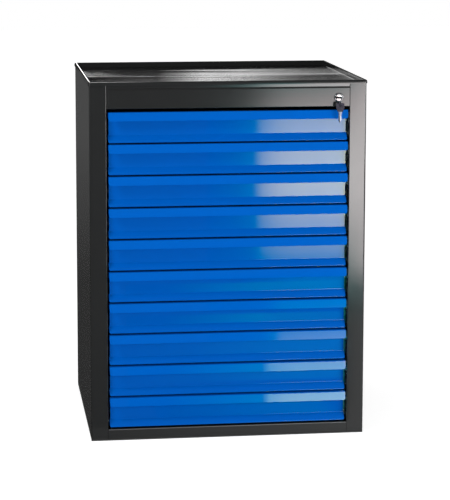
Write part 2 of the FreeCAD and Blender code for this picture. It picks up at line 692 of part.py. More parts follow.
def lock_bar():
    """The flat bar inside the right post, with an arm that reaches behind the lock."""
    body = new_body("lock_bar")
    plate = new_sketch(body, "XZ_Plane", f"-{BAR_FRONT}")
    outer = f"({BAR_INNER_EDGE} + bar_width)"
    arm_end = f"({LOCK_X} - {CAM_RADIUS} - cam_pin_radius - cam_pin_play - 3 * bar_sheet)"
    arm_low = f"({PIN_REST_Z} - arm_height / 2)"
    arm_high = f"({PIN_REST_Z} + arm_height / 2)"
    foot = f"({FIRST_DRAWER} + guide_lift / 2)"
    add_outline(
        plate,
        (
            (BAR_INNER_EDGE, foot),
            (outer, foot),
            (outer, arm_high),
            (arm_end, arm_high),
            (arm_end, arm_low),
            (BAR_INNER_EDGE, arm_low),
        ),
    )
    pad(body, plate, "bar_sheet", reverse=True)
    slot = new_sketch(body, "XZ_Plane", f"-{BAR_FRONT}")
    margin = "(cam_pin_radius + cam_pin_play)"
    near = f"({LOCK_X} - {CAM_RADIUS} - {margin})"
    far = f"({LOCK_X} - bar_travel / 2 + {margin})"
    add_outline(slot, rectangle(near, f"{PIN_REST_Z} - {margin}", far, f"{PIN_REST_Z} + {margin}"))
    pocket(body, slot, "bar_sheet")
    return body


def lock_fingers():
    """The fingers welded to the back of the bar, one for each drawer."""
    body = new_body("lock_fingers", FIRST_DRAWER)
    finger = new_sketch(body, "XZ_Plane", f"-{FINGER_FRONT}")
    root = f"({BAR_INNER_EDGE} + bar_width * 2 / 3)"
    add_outline(finger, rectangle(FINGER_TIP, "finger_lift", root, "finger_lift + finger_height"))
    tooth = pad(body, finger, "bar_sheet", reverse=True)
    repeat_upwards(body, tooth, int(value("drawer_count")), "(drawer_count - 1) * drawer_pitch")
    return body


def turned_body(name, outline):
    """A body turned about the lock's axis: the outline's points are (along Y from the front, radius)."""
    body = new_body(name, LOCK_Z)
    body.setExpression("Placement.Base.x", bound(LOCK_X))
    body.setExpression("Placement.Base.y", bound(FRONT))
    section = new_sketch(body, "YZ_Plane")
    add_outline(section, outline)
    turned = body.newObject("PartDesign::Revolution", f"{name}_turned")
    turned.Profile = section
    turned.ReferenceAxis = (section, ["H_Axis"])
    turned.Angle = 360
    return body


def lock_housing():
    """The lock's body: a front ring with a bevelled edge and a barrel through the panel."""
    bore = "(plug_radius + plug_play)"
    outline = (
        ("-bezel_height", bore),
        ("-bezel_height", "(bezel_radius + plug_radius) / 2"),
        ("-bezel_height / 2", "bezel_radius"),
        ("0", "bezel_radius"),
        ("0", "barrel_radius"),
        ("barrel_length", "barrel_radius"),
        ("barrel_length", bore),
    )
    return turned_body("lock_housing", outline)


def lock_plug():
    """The turning plug with its keyway and the screw that holds the cam."""
    cam_start = "(barrel_length + cam_gap)"
    cam_end = f"({cam_start} + cam_sheet)"
    screw_end = f"({cam_end} + cam_screw_height)"
    outline = (
        ("-bezel_height + plug_play", "0"),
        ("-bezel_height + plug_play", "plug_radius"),
        (cam_start, "plug_radius"),
        (cam_start, "cam_pin_radius"),
        (cam_end, "cam_pin_radius"),
        (cam_end, "cam_screw_radius"),
        (screw_end, "cam_screw_radius"),
        (screw_end, "0"),
    )
    body = turned_body("lock_plug", outline)
    keyway = new_sketch(body, "XZ_Plane", "bezel_height")
    wide = "(key_blade_width / 2 + key_play)"
    high = "(key_sheet / 2 + key_play)"
    add_outline(keyway, rectangle(f"-{wide}", f"-{high}", wide, high))
    pocket(body, keyway, "bezel_height + key_blade_inside + 2 * key_play")
    return body


def lock_nut():
    """The six-sided nut behind the panel."""
    body = new_body("lock_nut", LOCK_Z)
    body.setExpression("Placement.Base.x", bound(LOCK_X))
    body.setExpression("Placement.Base.y", bound(FRONT))
    face = new_sketch(body, "XZ_Plane", "-carcass_sheet")
    corner = "(nut_width / sqrt(3))"
    turns = [math.radians(60 * step) for step in range(6)]
    add_outline(face, [(f"{corner} * {math.cos(turn):.6f}", f"{corner} * {math.sin(turn):.6f}") for turn in turns])
    add_circle(face, "0", "0", "barrel_radius + plug_play")
    pad(body, face, "nut_thickness", reverse=True)
    return body


def lock_cam():
    """The cam on the plug's end: a lever to the lower left with a pin in the bar's slot."""
    body = new_body("lock_cam", LOCK_Z)
    body.setExpression("Placement.Base.x", bound(LOCK_X))
    body.setExpression("Placement.Base.y", bound(CAM_FRONT))
    pin_place = "(-bar_travel / 2)"
    disc = new_sketch(body, "XZ_Plane")
    add_circle(disc, "0", "0", "plug_radius")
    add_circle(disc, "0", "0", "cam_pin_radius")
    pad(body, disc, "cam_sheet", reverse=True)
    lever = new_sketch(body, "XZ_Plane")
    add_circle(lever, pin_place, pin_place, "2 * cam_pin_radius")
    pad(body, lever, "cam_sheet", reverse=True)
    hub = new_sketch(body, "XZ_Plane")
    add_circle(hub, "0", "0", "cam_pin_radius")
    pocket(body, hub)
    pin = new_sketch(body, "XZ_Plane")
    add_circle(pin, pin_place, pin_place, "cam_pin_radius")
    pad(body, pin, f"{BAR_FRONT} + 2 * bar_sheet - {CAM_FRONT}", reverse=True)
    return body


def lock_key():
    """The key in the lock: a flat blade in the keyway and a bow with a hole for the ring."""
    body = new_body("lock_key", f"{LOCK_Z} - key_sheet / 2")
    body.setExpression("Placement.Base.x", bound(LOCK_X))
    half = "(key_blade_width / 2)"
    plate = new_sketch(body, "XY_Plane")
    bow_start = f"({BOW_END} + bow_length)"
    add_outline(plate, rectangle(f"-{half}", bow_start, half, f"{FRONT} + key_blade_inside"))
    pad(body, plate, "key_sheet")
    bow = new_sketch(body, "XY_Plane")
    wide = "(bow_width / 2)"
    add_outline(bow, rectangle(f"-{wide}", BOW_END, wide, bow_start))
    pad(body, bow, "key_sheet")
    corners = [(f"{side} * {wide}", end) for side in (-1, 1) for end in (BOW_END, bow_start)]
    round_edges(body, "z", corners, "bow_width / 5")
    hole = new_sketch(body, "XY_Plane")
    add_circle(hole, "0", f"{BOW_END} + bow_rim + bow_hole_radius", "bow_hole_radius")
    pocket(body, hole)
    return body


def key_ring():
    """The wire ring that hangs in the bow."""
    ring = doc.addObject("Part::Torus", "key_ring")
    ring.Label = "key_ring"
    ring.setExpression("Radius1", bound("ring_radius"))
    ring.setExpression("Radius2", bound("ring_wire"))
    ring.Placement = FreeCAD.Placement(FreeCAD.Vector(), FreeCAD.Rotation(FreeCAD.Vector(0, 1, 0), 90))
    ring.setExpression("Placement.Base.x", bound(LOCK_X))
    ring.setExpression("Placement.Base.y", bound(RING_CENTRE_Y))
    ring.setExpression("Placement.Base.z", bound(RING_CENTRE_Z))
    return ring


def spare_key():
    """The spare key on the ring: a moulded head with a hole and a flat blade."""
    body = new_body("spare_key", SPARE_TOP)
    body.setExpression("Placement.Base.x", bound(LOCK_X))
    body.setExpression("Placement.Base.y", bound(RING_CENTRE_Y))
    wide = "(spare_head_width / 2)"
    narrow = "(spare_head_foot / 2)"
    head = new_sketch(body, "XZ_Plane")
    shoulder = "(-spare_head_height / 2)"
    foot = "(-spare_head_height)"
    corners = (
        (f"-{wide}", "0"),
        (f"-{wide}", shoulder),
        (f"-{narrow}", foot),
        (narrow, foot),
        (wide, shoulder),
        (wide, "0"),
    )
    add_outline(head, corners)
    pad(body, head, "spare_head_thickness", symmetric=True)
    round_edges(body, "y", [(f"-{wide}", "0"), (wide, "0")], "spare_head_corner")
    hole = new_sketch(body, "XZ_Plane")
    add_circle(hole, "0", "-spare_hole_rim - spare_hole_radius", "spare_hole_radius")
    pocket(body, hole)
    blade = new_sketch(body, "XZ_Plane")
    half = "(spare_blade_width / 2)"
    tip = f"({foot} - spare_blade_length)"
    chamfer = f"({tip} + spare_blade_width / 3)"
    add_outline(
        blade,
        ((f"-{half}", foot), (f"-{half}", chamfer), ("0", tip), (half, chamfer), (half, foot)),
    )
    pad(body, blade, "key_sheet", symmetric=True)
    return body


def build_cabinet():
    """Every piece of the cabinet, in the order it would be put together."""
    pieces = [
        base_pan(),
        side_panel("left_side", -1),
        side_panel("right_side", 1),
        back_panel(),
        top_rail(),
        lock_panel(),
        top_tray(),
        ribbed_mat(),
        cabinet_runners("cabinet_runners_left", -1),
        cabinet_runners("cabinet_runners_right", 1),
        bar_guides(),
        lock_bar(),
        lock_fingers(),
        lock_housing(),
        lock_nut(),
        lock_plug(),
        lock_cam(),
        lock_key(),
        key_ring(),
        spare_key(),
    ]
    for number in range(1, int(value("drawer_count")) + 1):
        pieces.append(drawer_front(number))
        pieces.append(drawer_box(number))
        pieces.append(drawer_runners(number))
        pieces.append(middle_runners(number))
    doc.recompute()
    return pieces


def failed_objects():
    """Names of the objects that didn't build."""
    return [item.Name for item in doc.Objects if {"Invalid", "Error"} & set(item.State)]


def write_parts(pieces):
    """Write each piece that is whole to its own STEP file."""
    broken = failed_objects()
    for piece in pieces:
        if piece.Shape.isNull() or not piece.Shape.isValid() or not piece.Shape.Solids:
            broken.append(piece.Label)
    if broken:
        raise RuntimeError("not built: " + ", ".join(sorted(set(broken))))
    os.makedirs("parts", exist_ok=True)
    for piece in pieces:
        piece.Shape.exportStep(os.path.join("parts", piece.Label + ".step"))
    print(len(pieces), "parts,", sum(len(piece.Shape.Solids) for piece in pieces), "solids")


write_parts(build_cabinet())
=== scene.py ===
import json
import math

import bmesh
import bpy
from mathutils import Matrix, Vector


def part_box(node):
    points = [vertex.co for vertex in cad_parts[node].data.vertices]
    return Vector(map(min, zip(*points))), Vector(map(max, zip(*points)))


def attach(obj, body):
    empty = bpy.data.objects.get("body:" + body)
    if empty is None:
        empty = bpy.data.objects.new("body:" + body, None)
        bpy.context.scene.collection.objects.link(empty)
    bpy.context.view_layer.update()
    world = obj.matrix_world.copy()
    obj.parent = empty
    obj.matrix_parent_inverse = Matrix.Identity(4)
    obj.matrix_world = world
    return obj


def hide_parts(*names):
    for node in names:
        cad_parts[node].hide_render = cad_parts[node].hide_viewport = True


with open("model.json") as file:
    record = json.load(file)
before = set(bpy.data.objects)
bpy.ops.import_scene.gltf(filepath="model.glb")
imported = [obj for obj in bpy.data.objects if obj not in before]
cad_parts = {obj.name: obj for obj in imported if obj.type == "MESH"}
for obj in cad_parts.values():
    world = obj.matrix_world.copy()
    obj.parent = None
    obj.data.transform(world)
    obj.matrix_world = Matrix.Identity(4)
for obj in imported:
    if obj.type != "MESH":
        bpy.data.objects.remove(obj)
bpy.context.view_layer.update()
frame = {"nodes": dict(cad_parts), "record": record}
nodes = frame["nodes"]

MM = 0.001
DRAWERS = 10

# Sizes in millimetres, as in the part.
FRONT = -275.0
CARCASS_HALF_WIDTH = 325.0
OPENING_HALF_WIDTH = 285.0
FRONT_HALF_WIDTH = 280.5
FRONT_HEIGHT = 72.0
SHEET = 1.0
GRIP_FOOT = 52.0
GRIP_LEAD = 9.0
GRIP_LEAN = 4.2
PANEL_RECESS = 15.0
FOOT_RISE = 16.5
FOOT_RECESS = 1.0
CORNER = 5.0
RIM_HALF_WIDTH = 327.0
RIM_HALF_DEPTH = 277.0
TRAY_RIM = 848.0
TRAY_DEPTH = 12.5
MAT_HALF_WIDTH = 320.0
MAT_HALF_DEPTH = 270.0

# Sizes in millimetres that the solids lack, or have otherwise.
PANEL_INSET = 1.5
CREASE_RADIUS = 2.6
SOFT_BEND = 3.5
RIM_CORNER = 4.0
MAT_TOP = 836.8
MAT_THICKNESS = 1.3
RIB_RADIUS = 0.6
RIB_PITCH = 3.6
RIVET_SINK = 1.1
RIVET_PLACES = (-205, -60, 60, 200)

# The rows of balls, on both sides: (across, start from front to rear, rise from the middle).
BALL_ROWS = ((279.2, 23, 14.65), (278.4, -229, 10.15))

# The stage, in metres.
SOFTBOX_POWER = 11.0
SOFTBOX_Y = -2.28
GEL_Y = -0.76
CABINET_Y = -0.2755
CARD_Y = 1.2


# Materials

def new_material(name):
    """A material, its tree and its shader."""
    material = bpy.data.materials.new(name)
    material.use_nodes = True
    return material, material.node_tree, material.node_tree.nodes["Principled BSDF"]


def add_node(tree, kind, values=(), **settings):
    """A node with its settings and the numbers on its sockets."""
    node = tree.nodes.new(kind)
    for name, value in settings.items():
        setattr(node, name, value)
    for socket, value in dict(values).items():
        node.inputs[socket].default_value = value
    return node


def feed(tree, value, socket):
    """Put a number on a socket, or link another socket to it."""
    if isinstance(value, (int, float)):
        socket.default_value = value
    else:
        tree.links.new(value, socket)


def mathematics(tree, operation, first, second):
    """The result of an operation on two numbers or sockets."""
    node = add_node(tree, "ShaderNodeMath", operation=operation)
    feed(tree, first, node.inputs[0])
    feed(tree, second, node.inputs[1])
    return node.outputs[0]


def vector(tree, x=0.0, y=0.0, z=0.0):
    """A vector from numbers or sockets."""
    node = tree.nodes.new("ShaderNodeCombineXYZ")
    for name, value in (("X", x), ("Y", y), ("Z", z)):
        feed(tree, value, node.inputs[name])
    return node.outputs[0]


def object_noise(tree, scale, detail=2.0, stretch=(1, 1, 1)):
    """Noise that sticks to the object, stretched along its axes."""
    place = add_node(tree, "ShaderNodeTexCoord")
    mapping = add_node(tree, "ShaderNodeMapping", {"Scale": stretch})
    noise = add_node(tree, "ShaderNodeTexNoise", {"Scale": scale, "Detail": detail})
    tree.links.new(place.outputs["Object"], mapping.inputs["Vector"])
    tree.links.new(mapping.outputs["Vector"], noise.inputs["Vector"])
    return noise.outputs["Fac"]


def between(tree, factor, low, high):
    """A number between low and high as the factor goes from 0.3 to 0.7."""
    ends = {"From Min": 0.3, "From Max": 0.7, "To Min": low, "To Max": high}
    mapped = add_node(tree, "ShaderNodeMapRange", ends)
    tree.links.new(factor, mapped.inputs["Value"])
    return mapped.outputs["Result"]


def tinted(tree, shader, factor, colour, darker, lighter):
    """The shader's colour, between a darker and a lighter tint of it."""
    mix = add_node(tree, "ShaderNodeMix", data_type="RGBA")
    mix.inputs["A"].default_value = (*(c * darker for c in colour), 1)
    mix.inputs["B"].default_value = (*(min(1.0, c * lighter) for c in colour), 1)
    tree.links.new(factor, mix.inputs["Factor"])
    tree.links.new(mix.outputs["Result"], shader.inputs["Base Color"])


def bumped(tree, shader, layers):
    """Bumps on top of each other: each layer is (height, strength, distance in metres)."""
    normal = None
    for height, strength, distance in layers:
        bump = add_node(tree, "ShaderNodeBump", {"Strength": strength, "Distance": distance})
        tree.links.new(height, bump.inputs["Height"])
        if normal:
            tree.links.new(normal, bump.inputs["Normal"])
        normal = bump.outputs["Normal"]
    tree.links.new(normal, shader.inputs["Normal"])


def powder_coat(name, colour, roughness, peel, wave, gloss_tint=(1, 1, 1)):
    """Baked powder coat: orange peel over sheet that isn't quite flat."""
    material, tree, shader = new_material(name)
    shader.inputs["Specular Tint"].default_value = (*gloss_tint, 1)
    cloud = object_noise(tree, 6.0, 3.0)
    tinted(tree, shader, cloud, colour, 0.96, 1.04)
    smudge = object_noise(tree, 35.0, 4.0)
    rough = between(tree, smudge, roughness * 0.92, roughness * 1.1)
    tree.links.new(rough, shader.inputs["Roughness"])
    fine = object_noise(tree, 1100.0, 2.0)
    slow = object_noise(tree, 5.0, 1.0)
    bumped(tree, shader, [(slow, wave, 0.002), (fine, peel, 0.00003)])
    return material


def round_corners(tree, shader, corner, width):
    """Turn the shading of the last millimetres before the side corners, as over a wider bend."""
    place = add_node(tree, "ShaderNodeTexCoord")
    split = add_node(tree, "ShaderNodeSeparateXYZ")
    tree.links.new(place.outputs["Object"], split.inputs["Vector"])
    across = mathematics(tree, "ABSOLUTE", split.outputs["X"], 0)
    over = mathematics(tree, "MAXIMUM", mathematics(tree, "SUBTRACT", across, corner - width), 0.0)
    drop = mathematics(tree, "MULTIPLY", mathematics(tree, "MULTIPLY", over, over), -0.5 / width)
    bump = add_node(tree, "ShaderNodeBump", {"Strength": 1.0, "Distance": 1.0})
    earlier = shader.inputs["Normal"].links[0].from_socket
    tree.links.new(drop, bump.inputs["Height"])
    tree.links.new(earlier, bump.inputs["Normal"])
    tree.links.new(bump.outputs["Normal"], shader.inputs["Normal"])


def rubber(name, colour):
    """Moulded rubber, slack enough to lie in long low waves from side to side."""
    material, tree, shader = new_material(name)
    dust = object_noise(tree, 9.0, 5.0, (0.4, 1.6, 1.0))
    tinted(tree, shader, dust, colour, 0.8, 1.25)
    tree.links.new(between(tree, dust, 0.07, 0.12), shader.inputs["Roughness"])
    wave = object_noise(tree, 11.0, 1.0, (0.16, 1.0, 1.0))
    ripple = object_noise(tree, 23.0, 1.0, (0.15, 1.0, 1.0))
    grain = object_noise(tree, 700.0, 2.0)
    bumped(tree, shader, [(wave, 1.0, 0.0026), (ripple, 1.0, 0.0006), (grain, 0.12, 0.00004)])
    return material


def metal(name, colour, roughness, spread, scale, scratch=0.0):
    """Bare or plated metal, a little cloudy, with fine marks."""
    material, tree, shader = new_material(name)
    shader.inputs["Metallic"].default_value = 1.0
    cloud = object_noise(tree, scale, 3.0)
    tinted(tree, shader, cloud, colour, 1 - spread, 1 + spread)
    rough = between(tree, cloud, roughness * 0.8, roughness * 1.25)
    tree.links.new(rough, shader.inputs["Roughness"])
    lines = object_noise(tree, 1500.0, 2.0, (1.0, 0.04, 1.0))
    bumped(tree, shader, [(lines, 0.05 + scratch, 0.00002)])
    return material


def plastic(name, colour, shine=0.25):
    """Moulded plastic with a fine eroded grain."""
    material, tree, shader = new_material(name)
    shader.inputs["Specular IOR Level"].default_value = shine
    cloud = object_noise(tree, 80.0, 3.0)
    tinted(tree, shader, cloud, colour, 0.85, 1.15)
    tree.links.new(between(tree, cloud, 0.5, 0.65), shader.inputs["Roughness"])
    bumped(tree, shader, [(object_noise(tree, 2500.0, 2.0), 0.25, 0.00004)])
    return material


drawer_blue = powder_coat(
    "drawer_blue", (0.0, 0.111, 0.52), roughness=0.028, peel=0.1, wave=0.015,
    gloss_tint=(0.9, 0.9, 0.32),
)
carcass_grey = powder_coat(
    "carcass_grey", (0.0195, 0.0203, 0.0205), roughness=0.12, peel=0.2, wave=0.02
)
round_corners(
    carcass_grey.node_tree, carcass_grey.node_tree.nodes["Principled BSDF"],
    CARCASS_HALF_WIDTH * MM, SOFT_BEND * MM,
)
# A lighter grey for the bottom rail's rolled edge: a painted highlight.
painted_highlight_edge = powder_coat(
    "painted_highlight_edge", (0.12, 0.12, 0.122), roughness=0.25, peel=0.2, wave=0.02
)
box_grey = powder_coat(
    "box_grey", (0.0215, 0.0223, 0.0225), roughness=0.3, peel=0.3, wave=0.04
)
mat_rubber = rubber("mat_rubber", (0.013, 0.013, 0.0135))
zinc = metal("runner_zinc", (0.56, 0.57, 0.59), roughness=0.32, spread=0.12, scale=90.0)
chrome = metal("lock_chrome", (0.82, 0.82, 0.83), roughness=0.07, spread=0.03, scale=60.0)
ring_chrome = metal("ring_chrome", (0.22, 0.22, 0.23), roughness=0.1, spread=0.1, scale=200.0)
nickel = metal(
    "key_nickel", (0.13, 0.14, 0.17), roughness=0.36, spread=0.1, scale=150.0, scratch=0.2
)
# Very dark steel for the key in the lock: painted shade of the keyway it sits in.
keyway_shade_steel = metal(
    "keyway_shade_steel", (0.07, 0.07, 0.075), roughness=0.35, spread=0.15, scale=150.0, scratch=0.2
)
head_plastic = plastic("key_head", (0.027, 0.023, 0.04))
# A dull near-black strip for the seam under the top rail: painted shade of the gap.
painted_seam_shade = plastic("painted_seam_shade", (0.015, 0.015, 0.015), shine=0.04)

FINISHES = {
    "carcass_paint": carcass_grey,
    "drawer_paint": drawer_blue,
    "box_paint": box_grey,
    "runner_zinc": zinc,
    "mat_rubber": mat_rubber,
    "lock_chrome": chrome,
    "key_steel": nickel,
    "key_plastic": head_plastic,
}


def finish_cad_nodes():
    """Every node that stays gets its finish."""
    for entry in frame["record"]["subparts"]:
        mesh = nodes[entry["node"]].data
        # The key in the lock takes the very dark steel: painted shade of its keyway.
        keyway_shaded = entry["node"] == "lock_key"
        mesh.materials.clear()
        mesh.materials.append(keyway_shade_steel if keyway_shaded else FINISHES[entry["material_slot"]])


# Meshes

def new_object(name, mesh):
    """An object at the origin, in the scene."""
    piece = bpy.data.objects.new(name, mesh)
    bpy.context.scene.collection.objects.link(piece)
    return piece


def finish_mesh(mesh, merge, material, smooth_below):
    """Merge points that lie within a distance, and give the mesh its material and smoothing."""
    form = bmesh.new()
    form.from_mesh(mesh)
    bmesh.ops.remove_doubles(form, verts=form.verts, dist=merge)
    bmesh.ops.recalc_face_normals(form, faces=form.faces)
    form.to_mesh(mesh)
    form.free()
    mesh.materials.clear()
    mesh.materials.append(material)
    mesh.shade_smooth()
    mesh.set_sharp_from_angle(angle=math.radians(smooth_below))


def mesh_from(name, points, faces, material, smooth_below=35):
    """A closed mesh from points in millimetres, smooth across edges below an angle."""
    mesh = bpy.data.meshes.new(name)
    mesh.from_pydata([[c * MM for c in point] for point in points], [], faces)
    finish_mesh(mesh, 0.000002, material, smooth_below)
    return mesh


def evaluated_mesh(piece):
    """A mesh of its own with what the object's modifiers or curves make of it."""
    view = bpy.context.evaluated_depsgraph_get()
    return bpy.data.meshes.new_from_object(piece.evaluated_get(view), depsgraph=view)


def rounded_path(corners, steps=6):
    """Points along a bent line: each corner is (along, up, bend radius).

    A point just beyond each end of a bend keeps the flats next to it flat in their shading.
    """
    points = []
    for index, (along, up, radius) in enumerate(corners):
        here = Vector((along, up))
        if radius == 0 or index in (0, len(corners) - 1):
            points.append(here)
            continue
        before = (Vector(corners[index - 1][:2]) - here).normalized()
        after = (Vector(corners[index + 1][:2]) - here).normalized()
        half = before.angle(after) / 2
        reach = radius / math.tan(half)
        centre = here + (before + after).normalized() * (radius / math.sin(half))
        turn = math.pi - 2 * half
        side = 1 if before.cross(after) > 0 else -1
        points.append(here + before * (reach + 0.08))
        for step in range(steps + 1):
            arm = here + before * reach - centre
            arm.rotate(Matrix.Rotation(-side * turn * step / steps, 2))
            points.append(centre + arm)
        points.append(here + after * (reach + 0.08))
    return points


def with_heights(path, heights):
    """The path with points added where it crosses these heights."""
    points = [path[0]]
    for here, after in zip(path, path[1:]):
        low, high = sorted((here.y, after.y))
        crossed = sorted(height for height in heights if low + 0.01 < height < high - 0.01)
        for height in crossed if after.y > here.y else reversed(crossed):
            points.append(here.lerp(after, (height - here.y) / (after.y - here.y)))
        points.append(after)
    return points


def thickened(path, thickness):
    """The closed outline of a strip of sheet along a path."""
    left, right = [], []
    for index, point in enumerate(path):
        before = path[max(index - 1, 0)]
        after = path[min(index + 1, len(path) - 1)]
        direction = (after - before).normalized()
        if 0 < index < len(path) - 1:
            first, second = (point - before).normalized(), (after - point).normalized()
            direction = (first + second).normalized()
            reach = thickness / 2 / max(0.5, direction.dot(first))
        else:
            reach = thickness / 2
        normal = Vector((-direction.y, direction.x)) * reach
        left.append(point + normal)
        right.append(point - normal)
    return left + right[::-1]


# Drawer fronts

def front_profile():
    """The front's bent sheet, seen from the side: (distance from the front, height)."""
    half = SHEET / 2
    rear = PANEL_RECESS + half
    band_top = -GRIP_LEAD + GRIP_LEAN + half
    band_foot = -GRIP_LEAD + half
    slope = Vector((PANEL_RECESS - FOOT_RECESS, FOOT_RISE)).normalized()
    shift = half * (1 + slope.x) / slope.y
    corners = [
        (rear + half, half, 0),
        (FOOT_RECESS + shift, half, 1.2),
        (rear, FOOT_RISE + half * (1 - slope.y) / slope.x, CREASE_RADIUS),
        (rear, FRONT_HEIGHT - half, 1.2),
        (band_top, FRONT_HEIGHT - half, 1.6),
        (band_foot, GRIP_FOOT, 0),
    ]
    climb = [CORNER * (1 - math.cos(math.radians(turn))) for turn in range(10, 91, 10)]
    path = with_heights(rounded_path(corners), climb + [GRIP_FOOT + rise for rise in climb])
    return thickened(path, SHEET)


def corner_inset(along, up):
    """How far the front's end is pulled in.

    It is at the panel, and by the rounded lower corners of foot and grip.
    """
    if along > PANEL_RECESS - 2 and FOOT_RISE + 0.5 < up < GRIP_FOOT + CORNER:
        return PANEL_INSET
    for foot, applies in ((0.0, True), (GRIP_FOOT, along < PANEL_RECESS - 2)):
        climb = up - foot
        if applies and -0.5 <= climb < CORNER:
            return CORNER - math.sqrt(max(0.0, CORNER ** 2 - (CORNER - max(climb, 0.0)) ** 2))
    return 0.0


def drawer_front_mesh(name, foot):
    """One drawer front, from end to end."""
    outline = front_profile()
    count = len(outline)
    points, faces = [], []
    for side in (-1, 1):
        for along, up in outline:
            across = FRONT_HALF_WIDTH - corner_inset(along, up)
            points.append((side * across, FRONT + along, foot + up))
    for index in range(count):
        after = (index + 1) % count
        faces.append((index, after, count + after, count + index))
    # Each end is closed by quads across the sheet's thickness.
    for start in (0, count):
        for index in range(count // 2 - 1):
            near, far = start + index, start + count - 1 - index
            faces.append((near, near + 1, far - 1, far))
    return mesh_from(name, points, faces, drawer_blue)


def make_drawer_fronts():
    """The ten folded fronts."""
    for number in range(1, DRAWERS + 1):
        node = f"drawer_{number:02d}_front"
        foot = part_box(node)[0].z / MM
        piece = new_object(f"drawer_{number:02d}_folded_front", drawer_front_mesh(node, foot))
        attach(piece, f"drawer_{number:02d}")
        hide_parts(node)


# Geometry node trees

def geometry_tree(name, inputs):
    """An empty geometry tree with named number inputs: (tree, its input node, its output node)."""
    tree = bpy.data.node_groups.new(name, "GeometryNodeTree")
    for label, kind in inputs:
        tree.interface.new_socket(label, in_out="INPUT", socket_type=kind)
    tree.interface.new_socket("Geometry", in_out="OUTPUT", socket_type="NodeSocketGeometry")
    return tree, tree.nodes.new("NodeGroupInput"), tree.nodes.new("NodeGroupOutput")


def close_tree(tree, geometry, output, material):
    """Make the instances real, give them their material and end the tree."""
    real = tree.nodes.new("GeometryNodeRealizeInstances")
    finish = add_node(tree, "GeometryNodeSetMaterial", {"Material": material})
    tree.links.new(geometry, real.inputs["Geometry"])
    tree.links.new(real.outputs["Geometry"], finish.inputs["Geometry"])
    tree.links.new(finish.outputs["Geometry"], output.inputs["Geometry"])


def grown(name, tree, values, points=()):
    """The mesh that a tree grows, on the seed's points if it takes any, as a plain object."""
    seed = new_object(name + "_seed", bpy.data.meshes.new(name + "_seed"))
    seed.data.from_pydata(points, [], [])
    modifier = seed.modifiers.new("grow", "NODES")
    modifier.node_group = tree
    for item in tree.interface.items_tree:
        if item.in_out == "INPUT" and item.name in values:
            modifier[item.identifier] = values[item.name]
    mesh = evaluated_mesh(seed)
    mesh.name = name
    seed.modifiers.remove(modifier)
    bpy.data.objects.remove(seed)
    return new_object(name, mesh)


def ribbed_mat_tree():
    """A slab with half-round ribs that run from front to back."""
    number = "NodeSocketFloat"
    labels = ("Width", "Depth", "Underside", "Slab", "Pitch", "Rib Radius")
    tree, given, output = geometry_tree("ribbed_mat", [(label, number) for label in labels])
    size = given.outputs
    slab = tree.nodes.new("GeometryNodeMeshCube")
    tree.links.new(vector(tree, size["Width"], size["Depth"], size["Slab"]), slab.inputs["Size"])
    middle = mathematics(tree, "MULTIPLY_ADD", size["Slab"], 0.5)
    tree.links.new(size["Underside"], middle.node.inputs[2])
    lifted = tree.nodes.new("GeometryNodeTransform")
    tree.links.new(slab.outputs["Mesh"], lifted.inputs["Geometry"])
    tree.links.new(vector(tree, 0.0, 0.0, middle), lifted.inputs["Translation"])
    rib = add_node(tree, "GeometryNodeMeshCylinder", {"Vertices": 12})
    tree.links.new(size["Rib Radius"], rib.inputs["Radius"])
    tree.links.new(size["Depth"], rib.inputs["Depth"])
    soft = tree.nodes.new("GeometryNodeSetShadeSmooth")
    tree.links.new(rib.outputs["Mesh"], soft.inputs["Geometry"])
    laid = add_node(tree, "GeometryNodeTransform", {"Rotation": (math.pi / 2, 0, 0)})
    tree.links.new(soft.outputs["Geometry"], laid.inputs["Geometry"])
    row = tree.nodes.new("GeometryNodeMeshLine")
    count = mathematics(tree, "FLOOR", mathematics(tree, "DIVIDE", size["Width"], size["Pitch"]), 0)
    tree.links.new(count, row.inputs["Count"])
    start = mathematics(tree, "MULTIPLY", mathematics(tree, "SUBTRACT", count, 1), -0.5)
    start = mathematics(tree, "MULTIPLY", start, size["Pitch"])
    top = mathematics(tree, "ADD", size["Underside"], size["Slab"])
    tree.links.new(vector(tree, start, 0.0, top), row.inputs["Start Location"])
    tree.links.new(vector(tree, size["Pitch"]), row.inputs["Offset"])
    placed = tree.nodes.new("GeometryNodeInstanceOnPoints")
    tree.links.new(row.outputs["Mesh"], placed.inputs["Points"])
    tree.links.new(laid.outputs["Geometry"], placed.inputs["Instance"])
    joined = tree.nodes.new("GeometryNodeJoinGeometry")
    tree.links.new(placed.outputs["Instances"], joined.inputs["Geometry"])
    tree.links.new(lifted.outputs["Geometry"], joined.inputs["Geometry"])
    close_tree(tree, joined.outputs["Geometry"], output, mat_rubber)
    return tree


def make_mat():
    """The mat with its ribs, in the place of the plain one."""
    sizes = {
        "Width": 2 * MAT_HALF_WIDTH * MM,
        "Depth": 2 * MAT_HALF_DEPTH * MM,
        "Underside": (MAT_TOP - MAT_THICKNESS) * MM,
        "Slab": (MAT_THICKNESS - RIB_RADIUS) * MM,
        "Pitch": RIB_PITCH * MM,
        "Rib Radius": RIB_RADIUS * MM,
    }
    piece = grown("tray_mat", ribbed_mat_tree(), sizes)
    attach(piece, "carcass")
    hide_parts("ribbed_mat")


# Runner balls and rivets

